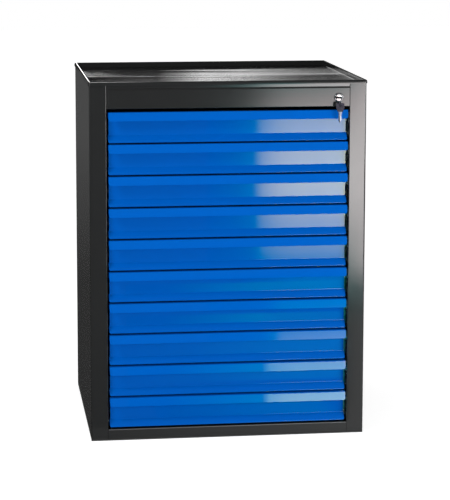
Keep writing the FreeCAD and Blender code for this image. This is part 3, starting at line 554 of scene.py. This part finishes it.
def rows_tree():
    """A row of balls in a thin cage at every point of the seed."""
    number = "NodeSocketFloat"
    inputs = [("Geometry", "NodeSocketGeometry"), ("Count", "NodeSocketInt"), ("Pitch", number)]
    inputs += [("Ball Radius", number), ("Cage Width", number), ("Cage Sheet", number)]
    tree, given, output = geometry_tree("ball_rows", inputs)
    size = given.outputs
    ball = add_node(tree, "GeometryNodeMeshUVSphere", {"Segments": 8, "Rings": 6})
    tree.links.new(size["Ball Radius"], ball.inputs["Radius"])
    soft = tree.nodes.new("GeometryNodeSetShadeSmooth")
    tree.links.new(ball.outputs["Mesh"], soft.inputs["Geometry"])
    line = tree.nodes.new("GeometryNodeMeshLine")
    tree.links.new(size["Count"], line.inputs["Count"])
    tree.links.new(vector(tree, 0.0, size["Pitch"], 0.0), line.inputs["Offset"])
    balls = tree.nodes.new("GeometryNodeInstanceOnPoints")
    tree.links.new(line.outputs["Mesh"], balls.inputs["Points"])
    tree.links.new(soft.outputs["Geometry"], balls.inputs["Instance"])
    length = mathematics(tree, "MULTIPLY", size["Count"], size["Pitch"])
    cage = tree.nodes.new("GeometryNodeMeshCube")
    cage_size = vector(tree, size["Cage Width"], length, size["Cage Sheet"])
    tree.links.new(cage_size, cage.inputs["Size"])
    span = mathematics(tree, "SUBTRACT", length, size["Pitch"])
    middle = mathematics(tree, "MULTIPLY", span, 0.5)
    moved = tree.nodes.new("GeometryNodeTransform")
    tree.links.new(cage.outputs["Mesh"], moved.inputs["Geometry"])
    tree.links.new(vector(tree, 0.0, middle, 0.0), moved.inputs["Translation"])
    row = tree.nodes.new("GeometryNodeJoinGeometry")
    tree.links.new(balls.outputs["Instances"], row.inputs["Geometry"])
    tree.links.new(moved.outputs["Geometry"], row.inputs["Geometry"])
    rows = tree.nodes.new("GeometryNodeInstanceOnPoints")
    tree.links.new(size["Geometry"], rows.inputs["Points"])
    tree.links.new(row.outputs["Geometry"], rows.inputs["Instance"])
    close_tree(tree, rows.outputs["Instances"], output, zinc)
    return tree


def make_runner_balls():
    """Balls between the runner members.

    The rear ones run in the fixed member, the front ones in the drawer's.
    """
    tree = rows_tree()
    sizes = {
        "Count": 11,
        "Pitch": 20 * MM,
        "Ball Radius": 1.6 * MM,
        "Cage Width": 3.4 * MM,
        "Cage Sheet": 0.5 * MM,
    }
    for number in range(1, DRAWERS + 1):
        low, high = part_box(f"drawer_{number:02d}_middle_runners")
        middle = (low.z + high.z) / 2
        starts = []
        for side in (-1, 1):
            for up in (-1, 1):
                for across, along, rise in BALL_ROWS:
                    starts.append((side * across * MM, along * MM, middle + up * rise * MM))
        piece = grown(f"drawer_{number:02d}_balls", tree, sizes, starts)
        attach(piece, f"drawer_{number:02d}_middle")


def heads_tree():
    """A flat domed rivet head at every point of the seed."""
    number = "NodeSocketFloat"
    inputs = [("Geometry", "NodeSocketGeometry"), ("Radius", number), ("Height", number)]
    tree, given, output = geometry_tree("rivet_heads", inputs)
    size = given.outputs
    dome = add_node(tree, "GeometryNodeMeshUVSphere", {"Segments": 14, "Rings": 6, "Radius": 1.0})
    soft = tree.nodes.new("GeometryNodeSetShadeSmooth")
    tree.links.new(dome.outputs["Mesh"], soft.inputs["Geometry"])
    heads = tree.nodes.new("GeometryNodeInstanceOnPoints")
    tree.links.new(size["Geometry"], heads.inputs["Points"])
    tree.links.new(soft.outputs["Geometry"], heads.inputs["Instance"])
    scale = vector(tree, size["Height"], size["Radius"], size["Radius"])
    tree.links.new(scale, heads.inputs["Scale"])
    close_tree(tree, heads.outputs["Instances"], output, zinc)
    return tree


def make_box_rivets():
    """The rivets that hold the runners to the drawer boxes, as heads inside the boxes."""
    tree = heads_tree()
    sizes = {"Radius": 3.6 * MM, "Height": 1.1 * MM}
    for number in range(1, DRAWERS + 1):
        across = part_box(f"drawer_{number:02d}_box")[1].x - RIVET_SINK * MM
        low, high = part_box(f"drawer_{number:02d}_middle_runners")
        middle = (low.z + high.z) / 2
        spots = []
        for side in (-1, 1):
            spots += [(side * across, along * MM, middle) for along in RIVET_PLACES]
        piece = grown(f"drawer_{number:02d}_rivets", tree, sizes, spots)
        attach(piece, f"drawer_{number:02d}")


# The tray

def rectangle_ring(inset, height, corner):
    """Points round the rim's rectangle, drawn in by the inset."""
    half_x, half_y = RIM_HALF_WIDTH - inset, RIM_HALF_DEPTH - inset
    radius = max(corner - inset, 0.6)
    points = []
    for turn in range(4):
        side_x, side_y = ((1, 1), (-1, 1), (-1, -1), (1, -1))[turn]
        for step in range(7):
            angle = math.radians(90 * turn + 15 * step)
            x = side_x * (half_x - radius) + radius * math.cos(angle)
            points.append((x, side_y * (half_y - radius) + radius * math.sin(angle), height))
    return points


def lofted(name, rings, material, smooth_below):
    """Skin over rings of equally many points, closed across the last ring and the first."""
    count = len(rings[0])
    points = [point for ring in rings for point in ring]
    faces = []
    for ring in range(len(rings) - 1):
        for index in range(count):
            after = (index + 1) % count
            low, high = ring * count, (ring + 1) * count
            faces.append((low + index, low + after, high + after, high + index))
    faces.append(tuple(range(count))[::-1])
    faces.append(tuple(range(len(points) - count, len(points))))
    return mesh_from(name, points, faces, material, smooth_below)


def make_tray():
    """The tray with its rolled rim: the wall rises, rolls over and ends outside the carcass."""
    # The rim's outer and inner face: (inset, drop below the rim's top).
    roll = [(5.95, 2.6), (5.9, 1.2), (5.7, 0.4), (5.2, 0.05), (4.6, 0), (3.6, 0), (2.9, 0.1)]
    roll += [(2.2, 0.38), (1.5, 0.9), (0.9, 1.65), (0.45, 2.6), (0.15, 3.8), (0, 5.2), (0, 8.5)]
    inner = [(1, 8.5), (1, 5.3), (1.12, 4.1), (1.35, 3.1), (1.7, 2.3), (2.15, 1.7), (2.7, 1.3)]
    inner += [(3.3, 1.1), (4.2, 1), (4.7, 1.2), (4.9, 2), (4.95, 3.4)]
    roll = [(inset, TRAY_RIM - drop) for inset, drop in roll]
    inner = [(inset, TRAY_RIM - drop) for inset, drop in inner]
    floor = TRAY_RIM - TRAY_DEPTH
    last_inset = 40
    wall = [(6, floor + 2), (6.2, floor + 1), (6.8, floor + 0.3), (7.8, floor)]
    under = [(4.95, floor + 1), (5.2, floor + 0.1), (5.8, floor - 0.7), (7.8, floor - SHEET)]
    profile = [(last_inset, floor - SHEET)] + under[::-1] + inner[::-1]
    profile += roll[::-1] + wall + [(last_inset, floor)]
    rings = [rectangle_ring(inset, height, RIM_CORNER) for inset, height in profile]
    piece = new_object("rolled_tray", lofted("rolled_tray", rings, carcass_grey, 40))
    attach(piece, "carcass")
    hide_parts("top_tray")


def make_top_rail():
    """The strip under the rim. It leans a hair forward, with a rolled lower edge."""
    low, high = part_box("top_rail")
    foot, top = low.z / MM + SHEET / 2, high.z / MM
    hem, bend, edge = FRONT + 1.6, FRONT + 0.75, FRONT + 0.05
    path = rounded_path([(hem, foot, 0), (bend, foot, 0.7), (edge, top, 0)], 4)
    outline = thickened(path, SHEET)
    rings = [[(x, y, z) for y, z in outline] for x in (low.x / MM, high.x / MM)]
    piece = new_object("folded_rail", lofted("folded_rail", rings, carcass_grey, 35))
    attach(piece, "carcass")
    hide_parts("top_rail")


def make_rail_bead():
    """The rolled upper edge of the bottom rail, in a lighter grey than the carcass: a painted
    highlight.
    """
    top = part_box("base_pan")[1].z / MM
    radius, y, z = 1.15, FRONT + 1.0, top - 0.9
    reach = OPENING_HALF_WIDTH - 1
    turns = [math.radians(step * 30) for step in range(12)]
    round_bead = [(y + radius * math.cos(turn), z + radius * math.sin(turn)) for turn in turns]
    rings = [[(x, *point) for point in round_bead] for x in (-reach, reach)]
    piece = new_object("rail_bead", lofted("rail_bead", rings, painted_highlight_edge, 50))
    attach(piece, "carcass")


def make_seam():
    """A dull dark strip in the seam between the lock panel and the strip above it: painted shade of
    the gap.
    """
    foot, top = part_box("lock_panel")[1].z / MM - 0.7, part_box("top_rail")[0].z / MM + 0.4
    rear, face = FRONT + 1.6, FRONT - 0.1
    reach = OPENING_HALF_WIDTH - 0.5
    outline = [(rear, foot), (face, foot), (face, top), (rear, top)]
    rings = [[(x, y, z) for y, z in outline] for x in (-reach, reach)]
    piece = new_object("seam", lofted("seam", rings, painted_seam_shade, 30))
    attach(piece, "carcass")


# The lock

def turned(name, profile, x, z, material, smooth_below=35, count=48):
    """A closed body turned about the lock's axis: the profile is (radius, y)."""
    rings = []
    for turn in range(count):
        angle = 2 * math.pi * turn / count
        rings.append([(x + r * math.cos(angle), y, z + r * math.sin(angle)) for r, y in profile])
    points = [point for ring in rings for point in ring]
    size = len(profile)
    faces = []
    for turn in range(count):
        low, high = turn * size, (turn + 1) % count * size
        for index in range(size):
            after = (index + 1) % size
            faces.append((low + index, low + after, high + after, high + index))
    return mesh_from(name, points, faces, material, smooth_below)


def make_lock():
    """The lock's housing: a domed ring, and a barrel behind it whose bore holds the plug."""
    low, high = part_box("lock_housing")
    x, z = (low.x + high.x) / 2 / MM, (low.z + high.z) / 2 / MM
    rear, rim = high.y / MM, (high.x - low.x) / 2 / MM
    barrel, dome_half, dome_rise, dome_base = 9.0, 2.0, 2.4, FRONT - 0.6
    dome = []
    for step in range(13):
        angle = math.radians(15 * step)
        radius = barrel + dome_half * math.cos(angle)
        dome.append((radius, dome_base - dome_rise * math.sin(angle)))
    bore = [(6.75, FRONT - 0.3), (6.6, rear)]
    profile = [(rim, FRONT)] + dome + bore + [(barrel, rear), (barrel, FRONT)]
    piece = new_object("lock_ring", turned("lock_ring", profile, x, z, ring_chrome))
    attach(piece, "carcass")
    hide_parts("lock_housing")


# The spare key

def rounded_outline(corners, steps=6):
    """A closed outline in millimetres with rounded corners: each corner is (x, z, radius)."""
    looped = [corners[-1], *corners, corners[0]]
    points = []
    for index in range(1, len(looped) - 1):
        points += rounded_path(looped[index - 1 : index + 2], steps)[1:-1]
    return points


def plate(name, outline, holes, y, thickness, bevel, material):
    """A flat plate that faces the front: its outline and holes are (x, z) in millimetres."""
    drawing = bpy.data.curves.new(name, "CURVE")
    drawing.dimensions = "2D"
    drawing.fill_mode = "BOTH"
    drawing.extrude = (thickness / 2 - bevel) * MM
    drawing.bevel_depth = bevel * MM
    drawing.bevel_resolution = 3
    drawing.offset = -bevel * MM
    for loop in (outline, *holes):
        spline = drawing.splines.new("POLY")
        spline.points.add(len(loop) - 1)
        for point, (x, z) in zip(spline.points, loop):
            point.co = (x * MM, z * MM, 0, 1)
        spline.use_cyclic_u = True
    sketch = new_object(name + "_drawing", drawing)
    mesh = evaluated_mesh(sketch)
    bpy.data.objects.remove(sketch)
    mesh.transform(Matrix.Translation((0, y * MM, 0)) @ Matrix.Rotation(math.pi / 2, 4, "X"))
    finish_mesh(mesh, 0.000005, material, 40)
    return new_object(name, mesh)


def circle(x, z, radius, count=32):
    """Points round a circle."""
    turns = [2 * math.pi * step / count for step in range(count)]
    return [(x + radius * math.cos(turn), z + radius * math.sin(turn)) for turn in turns]


def make_spare_key():
    """A moulded head with a raised panel, and a ridged blade with its cuts."""
    low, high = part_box("spare_key")
    x = (low.x + high.x) / 2 / MM
    y = (low.y + high.y) / 2 / MM
    top = high.z / MM
    tip = low.z / MM
    shoulder, neck = top - 9.5, top - 19
    right = [(x + 9, top, 3), (x + 9, shoulder, 4), (x + 5.5, neck, 1)]
    left = [(x - 5.5, neck, 1), (x - 9, shoulder, 4)]
    head = rounded_outline([(x - 9, top, 3)] + right + left)
    hole = circle(x, top - 5.2, 2.2)
    moulded = plate(
        "spare_key_head", head, [hole], y, thickness=2.4, bevel=0.6, material=head_plastic
    )
    upper, lower = top - 9, neck + 1.8
    raised = rounded_outline(
        [(x - 6.8, upper, 1.5), (x + 6.8, upper, 1.5), (x + 4.2, lower, 1), (x - 4.2, lower, 1)]
    )
    panel = plate(
        "spare_key_panel", raised, [], y, thickness=3.0, bevel=0.25, material=head_plastic
    )
    # The blade's cut edge from neck to tip: (across, height).
    cuts = [(4, neck + 0.5), (4, neck - 3.5), (2.8, neck - 5), (2.8, neck - 6.5), (3.7, neck - 8)]
    cuts += [(2.3, neck - 10), (2.3, neck - 11.5), (3.4, neck - 13), (2.5, neck - 14.5)]
    cuts += [(2.5, neck - 16), (3.6, neck - 17.5), (2.6, neck - 19.5), (2.6, neck - 21.5)]
    cuts += [(0.6, tip + 1.5), (-0.2, tip)]
    rings = []
    for edge, height in cuts:
        back = -4 + max(0.0, tip + 4 - height) * 0.7
        spine = min(-0.3, (edge + back) / 2)
        section = [(back, -0.4), (spine, -0.8), (edge, -0.4)]
        section += [(edge, 0.4), (spine, 0.8), (back, 0.4)]
        rings.append([(x + across, y + out, height) for across, out in section])
    blade = new_object("spare_key_blade", lofted("spare_key_blade", rings, nickel, 12))
    for piece, finish in ((moulded, "key_plastic"), (panel, "key_plastic"), (blade, "key_steel")):
        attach(piece, "spare")
    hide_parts("spare_key")


# Camera and studio

def make_camera():
    """The photograph's viewpoint, from a camera fitted to the cabinet's corners."""
    data = bpy.data.cameras.new("camera")
    data.lens = 142.46
    data.shift_y = -0.15
    data.clip_end = 100
    camera = bpy.data.objects.new("camera", data)
    bpy.context.scene.collection.objects.link(camera)
    yaw, pitch, roll = 0.13171, 0.14077, -0.00186
    aim = Matrix.Rotation(-yaw, 4, "Z") @ Matrix.Rotation(math.pi / 2 - pitch, 4, "X")
    turn = aim @ Matrix.Rotation(-roll, 4, "Z")
    camera.matrix_world = Matrix.Translation((-0.60889, -4.80427, 1.27562)) @ turn
    bpy.context.scene.camera = camera


def stage_sheet(name, corners, material):
    """A flat four-cornered sheet of the studio."""
    mesh = bpy.data.meshes.new(name)
    mesh.from_pydata(corners, [], [(0, 1, 2, 3)])
    mesh.materials.append(material)
    sheet = new_object(name, mesh)
    return sheet


def reflected_sheet(name, corners, material):
    """A sheet that is seen in gloss alone: it throws no light or shadow."""
    sheet = stage_sheet(name, corners, material)
    sheet.visible_camera = False
    sheet.visible_diffuse = False
    sheet.visible_transmission = False
    sheet.visible_shadow = False


def graded(tree, axis, stops):
    """A share that follows the stops (place in metres, share) along an axis."""
    first, last = stops[0][0], stops[-1][0]
    place = add_node(tree, "ShaderNodeTexCoord")
    split = add_node(tree, "ShaderNodeSeparateXYZ")
    span = add_node(tree, "ShaderNodeMapRange", {"From Min": first, "From Max": last})
    ramp = add_node(tree, "ShaderNodeValToRGB")
    ramp.color_ramp.elements.remove(ramp.color_ramp.elements[1])
    for index, (where, share) in enumerate(stops):
        at = (where - first) / (last - first)
        stop = ramp.color_ramp.elements.new(at) if index else ramp.color_ramp.elements[0]
        stop.position = at
        stop.color = (share, share, share, 1)
    tree.links.new(place.outputs["Object"], split.inputs["Vector"])
    tree.links.new(split.outputs[axis], span.inputs["Value"])
    tree.links.new(span.outputs["Result"], ramp.inputs["Fac"])
    return ramp.outputs["Color"]


def glowing(name, strength, gradings=(), cool=0.0, warm=1.0):
    """A softbox's front or a flag, graded along its axes.

    Cool takes red from its faint parts, and warm adds some to all of them.
    """
    material, tree, shader = new_material(name)
    shader.inputs["Base Color"].default_value = (0, 0, 0, 1)
    shader.inputs["Specular IOR Level"].default_value = 0
    shader.inputs["Roughness"].default_value = 1
    shader.inputs["Emission Color"].default_value = (1, 1, 1, 1)
    shader.inputs["Emission Strength"].default_value = strength
    if not gradings:
        return material
    amount = strength
    for axis, stops in gradings:
        amount = mathematics(tree, "MULTIPLY", graded(tree, axis, stops), amount)
    red = mathematics(tree, "MULTIPLY", amount, 1.0 + 0.12 * cool)
    red = mathematics(tree, "SUBTRACT", red, cool)
    red = mathematics(tree, "MINIMUM", mathematics(tree, "MAXIMUM", red, 0.0), amount)
    red = mathematics(tree, "MULTIPLY", red, warm)
    colour = vector(tree, red, amount, amount)
    tree.links.new(colour, shader.inputs["Emission Color"])
    shader.inputs["Emission Strength"].default_value = 1.0
    return material


def upright(x_low, x_high, y, z_low, z_high):
    """Corners of a sheet that stands across the view."""
    return [(x_low, y, z_low), (x_high, y, z_low), (x_high, y, z_high), (x_low, y, z_high)]


def level(x_low, x_high, y_low, y_high, z):
    """Corners of a sheet that lies flat."""
    return [(x_low, y_low, z), (x_high, y_low, z), (x_high, y_high, z), (x_low, y_high, z)]


def lamp(name, place, target, size, power):
    """A soft rectangular lamp that faces its target."""
    data = bpy.data.lights.new(name, "AREA")
    data.shape = "RECTANGLE"
    data.size, data.size_y = size
    data.energy = power
    light = bpy.data.objects.new(name, data)
    bpy.context.scene.collection.objects.link(light)
    light.location = place
    light.rotation_euler = (Vector(target) - Vector(place)).to_track_quat("-Z", "Y").to_euler()


def seen_directly(tree, otherwise, directly):
    """One number for camera, glossy and transmission rays, and another for the rest."""
    ray = add_node(tree, "ShaderNodeLightPath").outputs
    seen = mathematics(tree, "MAXIMUM", ray["Is Camera Ray"], ray["Is Glossy Ray"])
    seen = mathematics(tree, "MAXIMUM", seen, ray["Is Transmission Ray"])
    chosen = add_node(tree, "ShaderNodeMapRange", {"To Min": otherwise, "To Max": directly})
    tree.links.new(seen, chosen.inputs["Value"])
    return chosen.outputs["Result"]


def make_world():
    """White to look at, and a softer light for the surfaces."""
    world = bpy.data.worlds.new("studio")
    bpy.context.scene.world = world
    world.use_nodes = True
    background = world.node_tree.nodes["Background"]
    background.inputs["Color"].default_value = (1, 1, 1, 1)
    strength = seen_directly(world.node_tree, 0.4, 1.0)
    world.node_tree.links.new(strength, background.inputs["Strength"])


def floor_material():
    """Pale floor that keeps its shadows and looks as white as the background."""
    material, tree, shader = new_material("floor")
    shader.inputs["Base Color"].default_value = (0.92, 0.92, 0.92, 1)
    shader.inputs["Roughness"].default_value = 0.95
    shader.inputs["Emission Color"].default_value = (1, 1, 1, 1)
    tree.links.new(seen_directly(tree, 0.22, 0.64), shader.inputs["Emission Strength"])
    return material


def make_softbox():
    """The softbox that the fronts and the right post mirror.

    It fades to the left and to its ends.
    """
    across = [(0.2, 0.0), (0.29, 0.045), (0.32, 0.08), (0.359, 0.15), (0.377, 0.38)]
    across += [(0.392, 0.53), (0.422, 0.69), (0.449, 0.8)]
    late = [(0.2, 0.0), (0.33, 0.03), (0.39, 0.1), (0.42, 0.38), (0.449, 0.8)]
    right = [(0.475, 0.86), (0.52, 0.93), (0.58, 0.94), (0.62, 1.0), (0.7, 1.0)]
    up = [(0.0, 0.1), (0.068, 0.42), (0.18, 0.68), (0.285, 1.0), (0.39, 0.95), (0.5, 0.74)]
    up += [(0.56, 0.57), (0.61, 0.42), (0.65, 0.3), (0.72, 0.2), (0.86, 0.0)]
    # Each band: its name, lower and upper end, fade to the left, cool and warm.
    bands = [
        ("low", 0.0, 0.55, across, 2.6, 1.0),
        ("panel", 0.55, 0.62, across, 0.0, 1.25),
        ("high", 0.62, 0.86, late, 2.2, 1.0),
    ]
    for band, low, high, left, cool, warm in bands:
        name = "softbox_" + band
        glow = glowing(name, SOFTBOX_POWER, [("X", left + right), ("Z", up)], cool, warm)
        reflected_sheet(name, upright(0.2, 0.7, SOFTBOX_Y, low, high), glow)
    up = [(0.0, 0.85), (0.126, 0.8), (0.265, 1.0), (0.5, 0.95), (0.6, 0.85), (0.7, 0.6)]
    up += [(0.78, 0.0)]
    glow = glowing("softbox_right", SOFTBOX_POWER, [("Z", up)], warm=1.08)
    reflected_sheet("softbox_right", upright(0.7, 1.15, SOFTBOX_Y, 0.0, 0.78), glow)
    # Its light on the floor in front of it.
    along = [(SOFTBOX_Y, 1.0), (-2.15, 0.45), (-2.0, 0.2), (-1.8, 0.11), (-0.28, 0.1)]
    near, height = -0.28, 0.004
    patch = [(0.29, near, height), (0.69, SOFTBOX_Y, height)]
    patch += [(1.6, SOFTBOX_Y, height), (1.2, near, height)]
    reflected_sheet("floor_glow", patch, glowing("floor_glow", 6.5, [("Y", along)]))
    across = [(0.3, 0.0), (0.5, 1.0), (0.69, 1.0)]
    along = [(SOFTBOX_Y, 1.0), (-1.85, 0.5), (-1.6, 0.0)]
    glow = glowing("floor_glow_left", 1.4, [("X", across), ("Y", along)], cool=1.4)
    reflected_sheet("floor_glow_left", level(0.3, 0.69, SOFTBOX_Y, -1.6, 0.0045), glow)


def scaled(tree, share, colour):
    """A colour in proportion to a share."""
    return vector(tree, *(mathematics(tree, "MULTIPLY", share, part) for part in colour))


def gel(name, low, high, let_through, tint, glow, hue):
    """A low coloured gel before the drawers, graded from left to right.

    It also glows a little.
    """
    material, tree, shader = new_material(name)
    tree.nodes.remove(shader)
    clear = add_node(tree, "ShaderNodeBsdfTransparent")
    share = graded(tree, "X", let_through)
    tree.links.new(scaled(tree, share, tint), clear.inputs["Color"])
    lit = add_node(tree, "ShaderNodeEmission")
    share = graded(tree, "X", glow)
    tree.links.new(scaled(tree, share, hue), lit.inputs["Color"])
    both = add_node(tree, "ShaderNodeAddShader")
    tree.links.new(clear.outputs["BSDF"], both.inputs[0])
    tree.links.new(lit.outputs["Emission"], both.inputs[1])
    output = next(node for node in tree.nodes if node.type == "OUTPUT_MATERIAL")
    tree.links.new(both.outputs["Shader"], output.inputs["Surface"])
    reflected_sheet(name, upright(-0.2, 0.37, GEL_Y, low, high), material)


def make_gels():
    """Blue-green gels before the lower drawers.

    The grips mirror the softbox through them, and the panels mirror their glow.
    """
    all_through = [(-0.2, 1.0), (0.4, 1.0)]
    glow = [(-0.2, 0.0), (-0.02, 0.2), (0.13, 0.7), (0.25, 1.0), (0.4, 1.0)]
    for drawer, low, high in (("nine", 0.006, 0.045), ("eight", 0.07, 0.13)):
        gel(
            "panel_gel_" + drawer, low, high,
            all_through, tint=(1, 1, 1), glow=glow, hue=(0, 0.95, 1.5),
        )
    right_through = [(0.152, 0.0), (0.172, 1.0), (0.4, 1.0)]
    glow = [(-0.1, 0.0), (-0.02, 0.2), (0.07, 0.45), (0.15, 0.7), (0.2, 0.5), (0.3, 0.45)]
    glow += [(0.4, 0.3)]
    for drawer, low, high in (("ten", 0.154, 0.186), ("nine", 0.236, 0.269)):
        gel(
            "grip_gel_" + drawer, low, high,
            right_through, tint=(0.64, 0.83, 0.93), glow=glow, hue=(0, 2.4, 1.2),
        )
    across = [(-0.15, 0.0), (0.0, 0.3), (0.2, 0.9), (0.26, 0.8), (0.31, 0.0)]
    glow = glowing("floor_gel", 0.9, [("X", across)], cool=1.5)
    reflected_sheet("floor_gel", level(-0.15, 0.31, -0.62, -0.38, 0.0055), glow)


def make_flags():
    """Black and grey flags, and the cards behind that light the mat and the left rim."""
    flag = glowing("flag", 0.03)
    reflected_sheet("room_flag", upright(-7, 7, -5.6, 0, 6), flag)
    reflected_sheet("ceiling_flag", level(-3, 3, -2.6, 0.5, 2.6), flag)
    reflected_sheet("floor_flag", level(-7, 7, -5.6, CABINET_Y, 0.003), flag)
    rail = glowing("rail_bounce", 0.7, [("X", [(-0.33, 0.2), (0.35, 1.0)])])
    reflected_sheet("rail_bounce", level(-0.33, 0.5, -0.375, CABINET_Y, 0.005), rail)
    side = glowing("side_flag", 0.09, [("Z", [(0.1, 0.4), (0.55, 1.0)])])
    reflected_sheet("left_flag", upright(-5, -0.02, CARD_Y, 0, 0.75), side)
    low = glowing("low_flag", 0.035)
    reflected_sheet("left_floor_flag", level(-5, -0.3252, CABINET_Y, CARD_Y, 0.003), low)
    # The cards for the rim and the mat stand behind the cabinet, with flags round them.
    corners = [(-0.42, 1.19, 0.925), (-0.3, 1.19, 0.915), (-0.25, 1.19, 0.992), (-0.42, 1.19, 1.04)]
    reflected_sheet("rim_card", corners, glowing("rim_card", 6.0))
    reflected_sheet("rim_flag", upright(-5, -0.25, 1.195, 0.75, 2), flag)
    across = [(-0.25, 0.0), (-0.02, 0.05), (0.05, 0.4), (0.12, 1.0), (0.23, 0.9), (0.33, 0.45)]
    across += [(0.43, 0.15), (0.6, 0.05)]
    up = [(0.88, 0.0), (0.94, 0.85), (1.0, 1.0), (1.05, 0.8), (1.1, 0.0)]
    glow = glowing("mat_card", 2.3, [("X", across), ("Z", up)])
    reflected_sheet("mat_card", upright(-0.25, 5, CARD_Y, 0.88, 1.1), glow)
    reflected_sheet("mat_flag_low", upright(-0.25, 5, CARD_Y, 0, 0.88), flag)
    reflected_sheet("mat_flag_high", upright(-0.25, 5, CARD_Y, 1.1, 1.7), flag)
    across = [(-0.35, 0.9), (-0.15, 1.0), (-0.03, 0.25), (0.06, 0.0)]
    glow = glowing("front_rim_card", 8.0, [("X", across)])
    reflected_sheet("front_rim_card", upright(-0.35, 0.06, CARD_Y, 1.7, 4), glow)
    reflected_sheet("front_rim_flag", upright(0.06, 5, CARD_Y, 1.7, 4), flag)


def make_studio():
    """Floor, lamps, the softbox that the fronts mirror, the gels before it, and the flags."""
    bpy.context.scene.view_settings.view_transform = "Standard"
    make_world()
    stage_sheet("floor", level(-14, 14, -14, 14, -0.0005), floor_material())
    lamp("key", (1.8, -2.4, 0.7), target=(0, 0, 0.35), size=(1.4, 0.7), power=38)
    lamp("fill", (-1.6, -1.4, 2.1), target=(-0.2, 0, 0.5), size=(0.7, 0.7), power=24)
    make_softbox()
    make_gels()
    make_flags()


make_camera()
finish_cad_nodes()
make_drawer_fronts()
make_mat()
make_tray()
make_top_rail()
make_rail_bead()
make_seam()
make_lock()
make_spare_key()
make_runner_balls()
make_box_rivets()
make_studio()
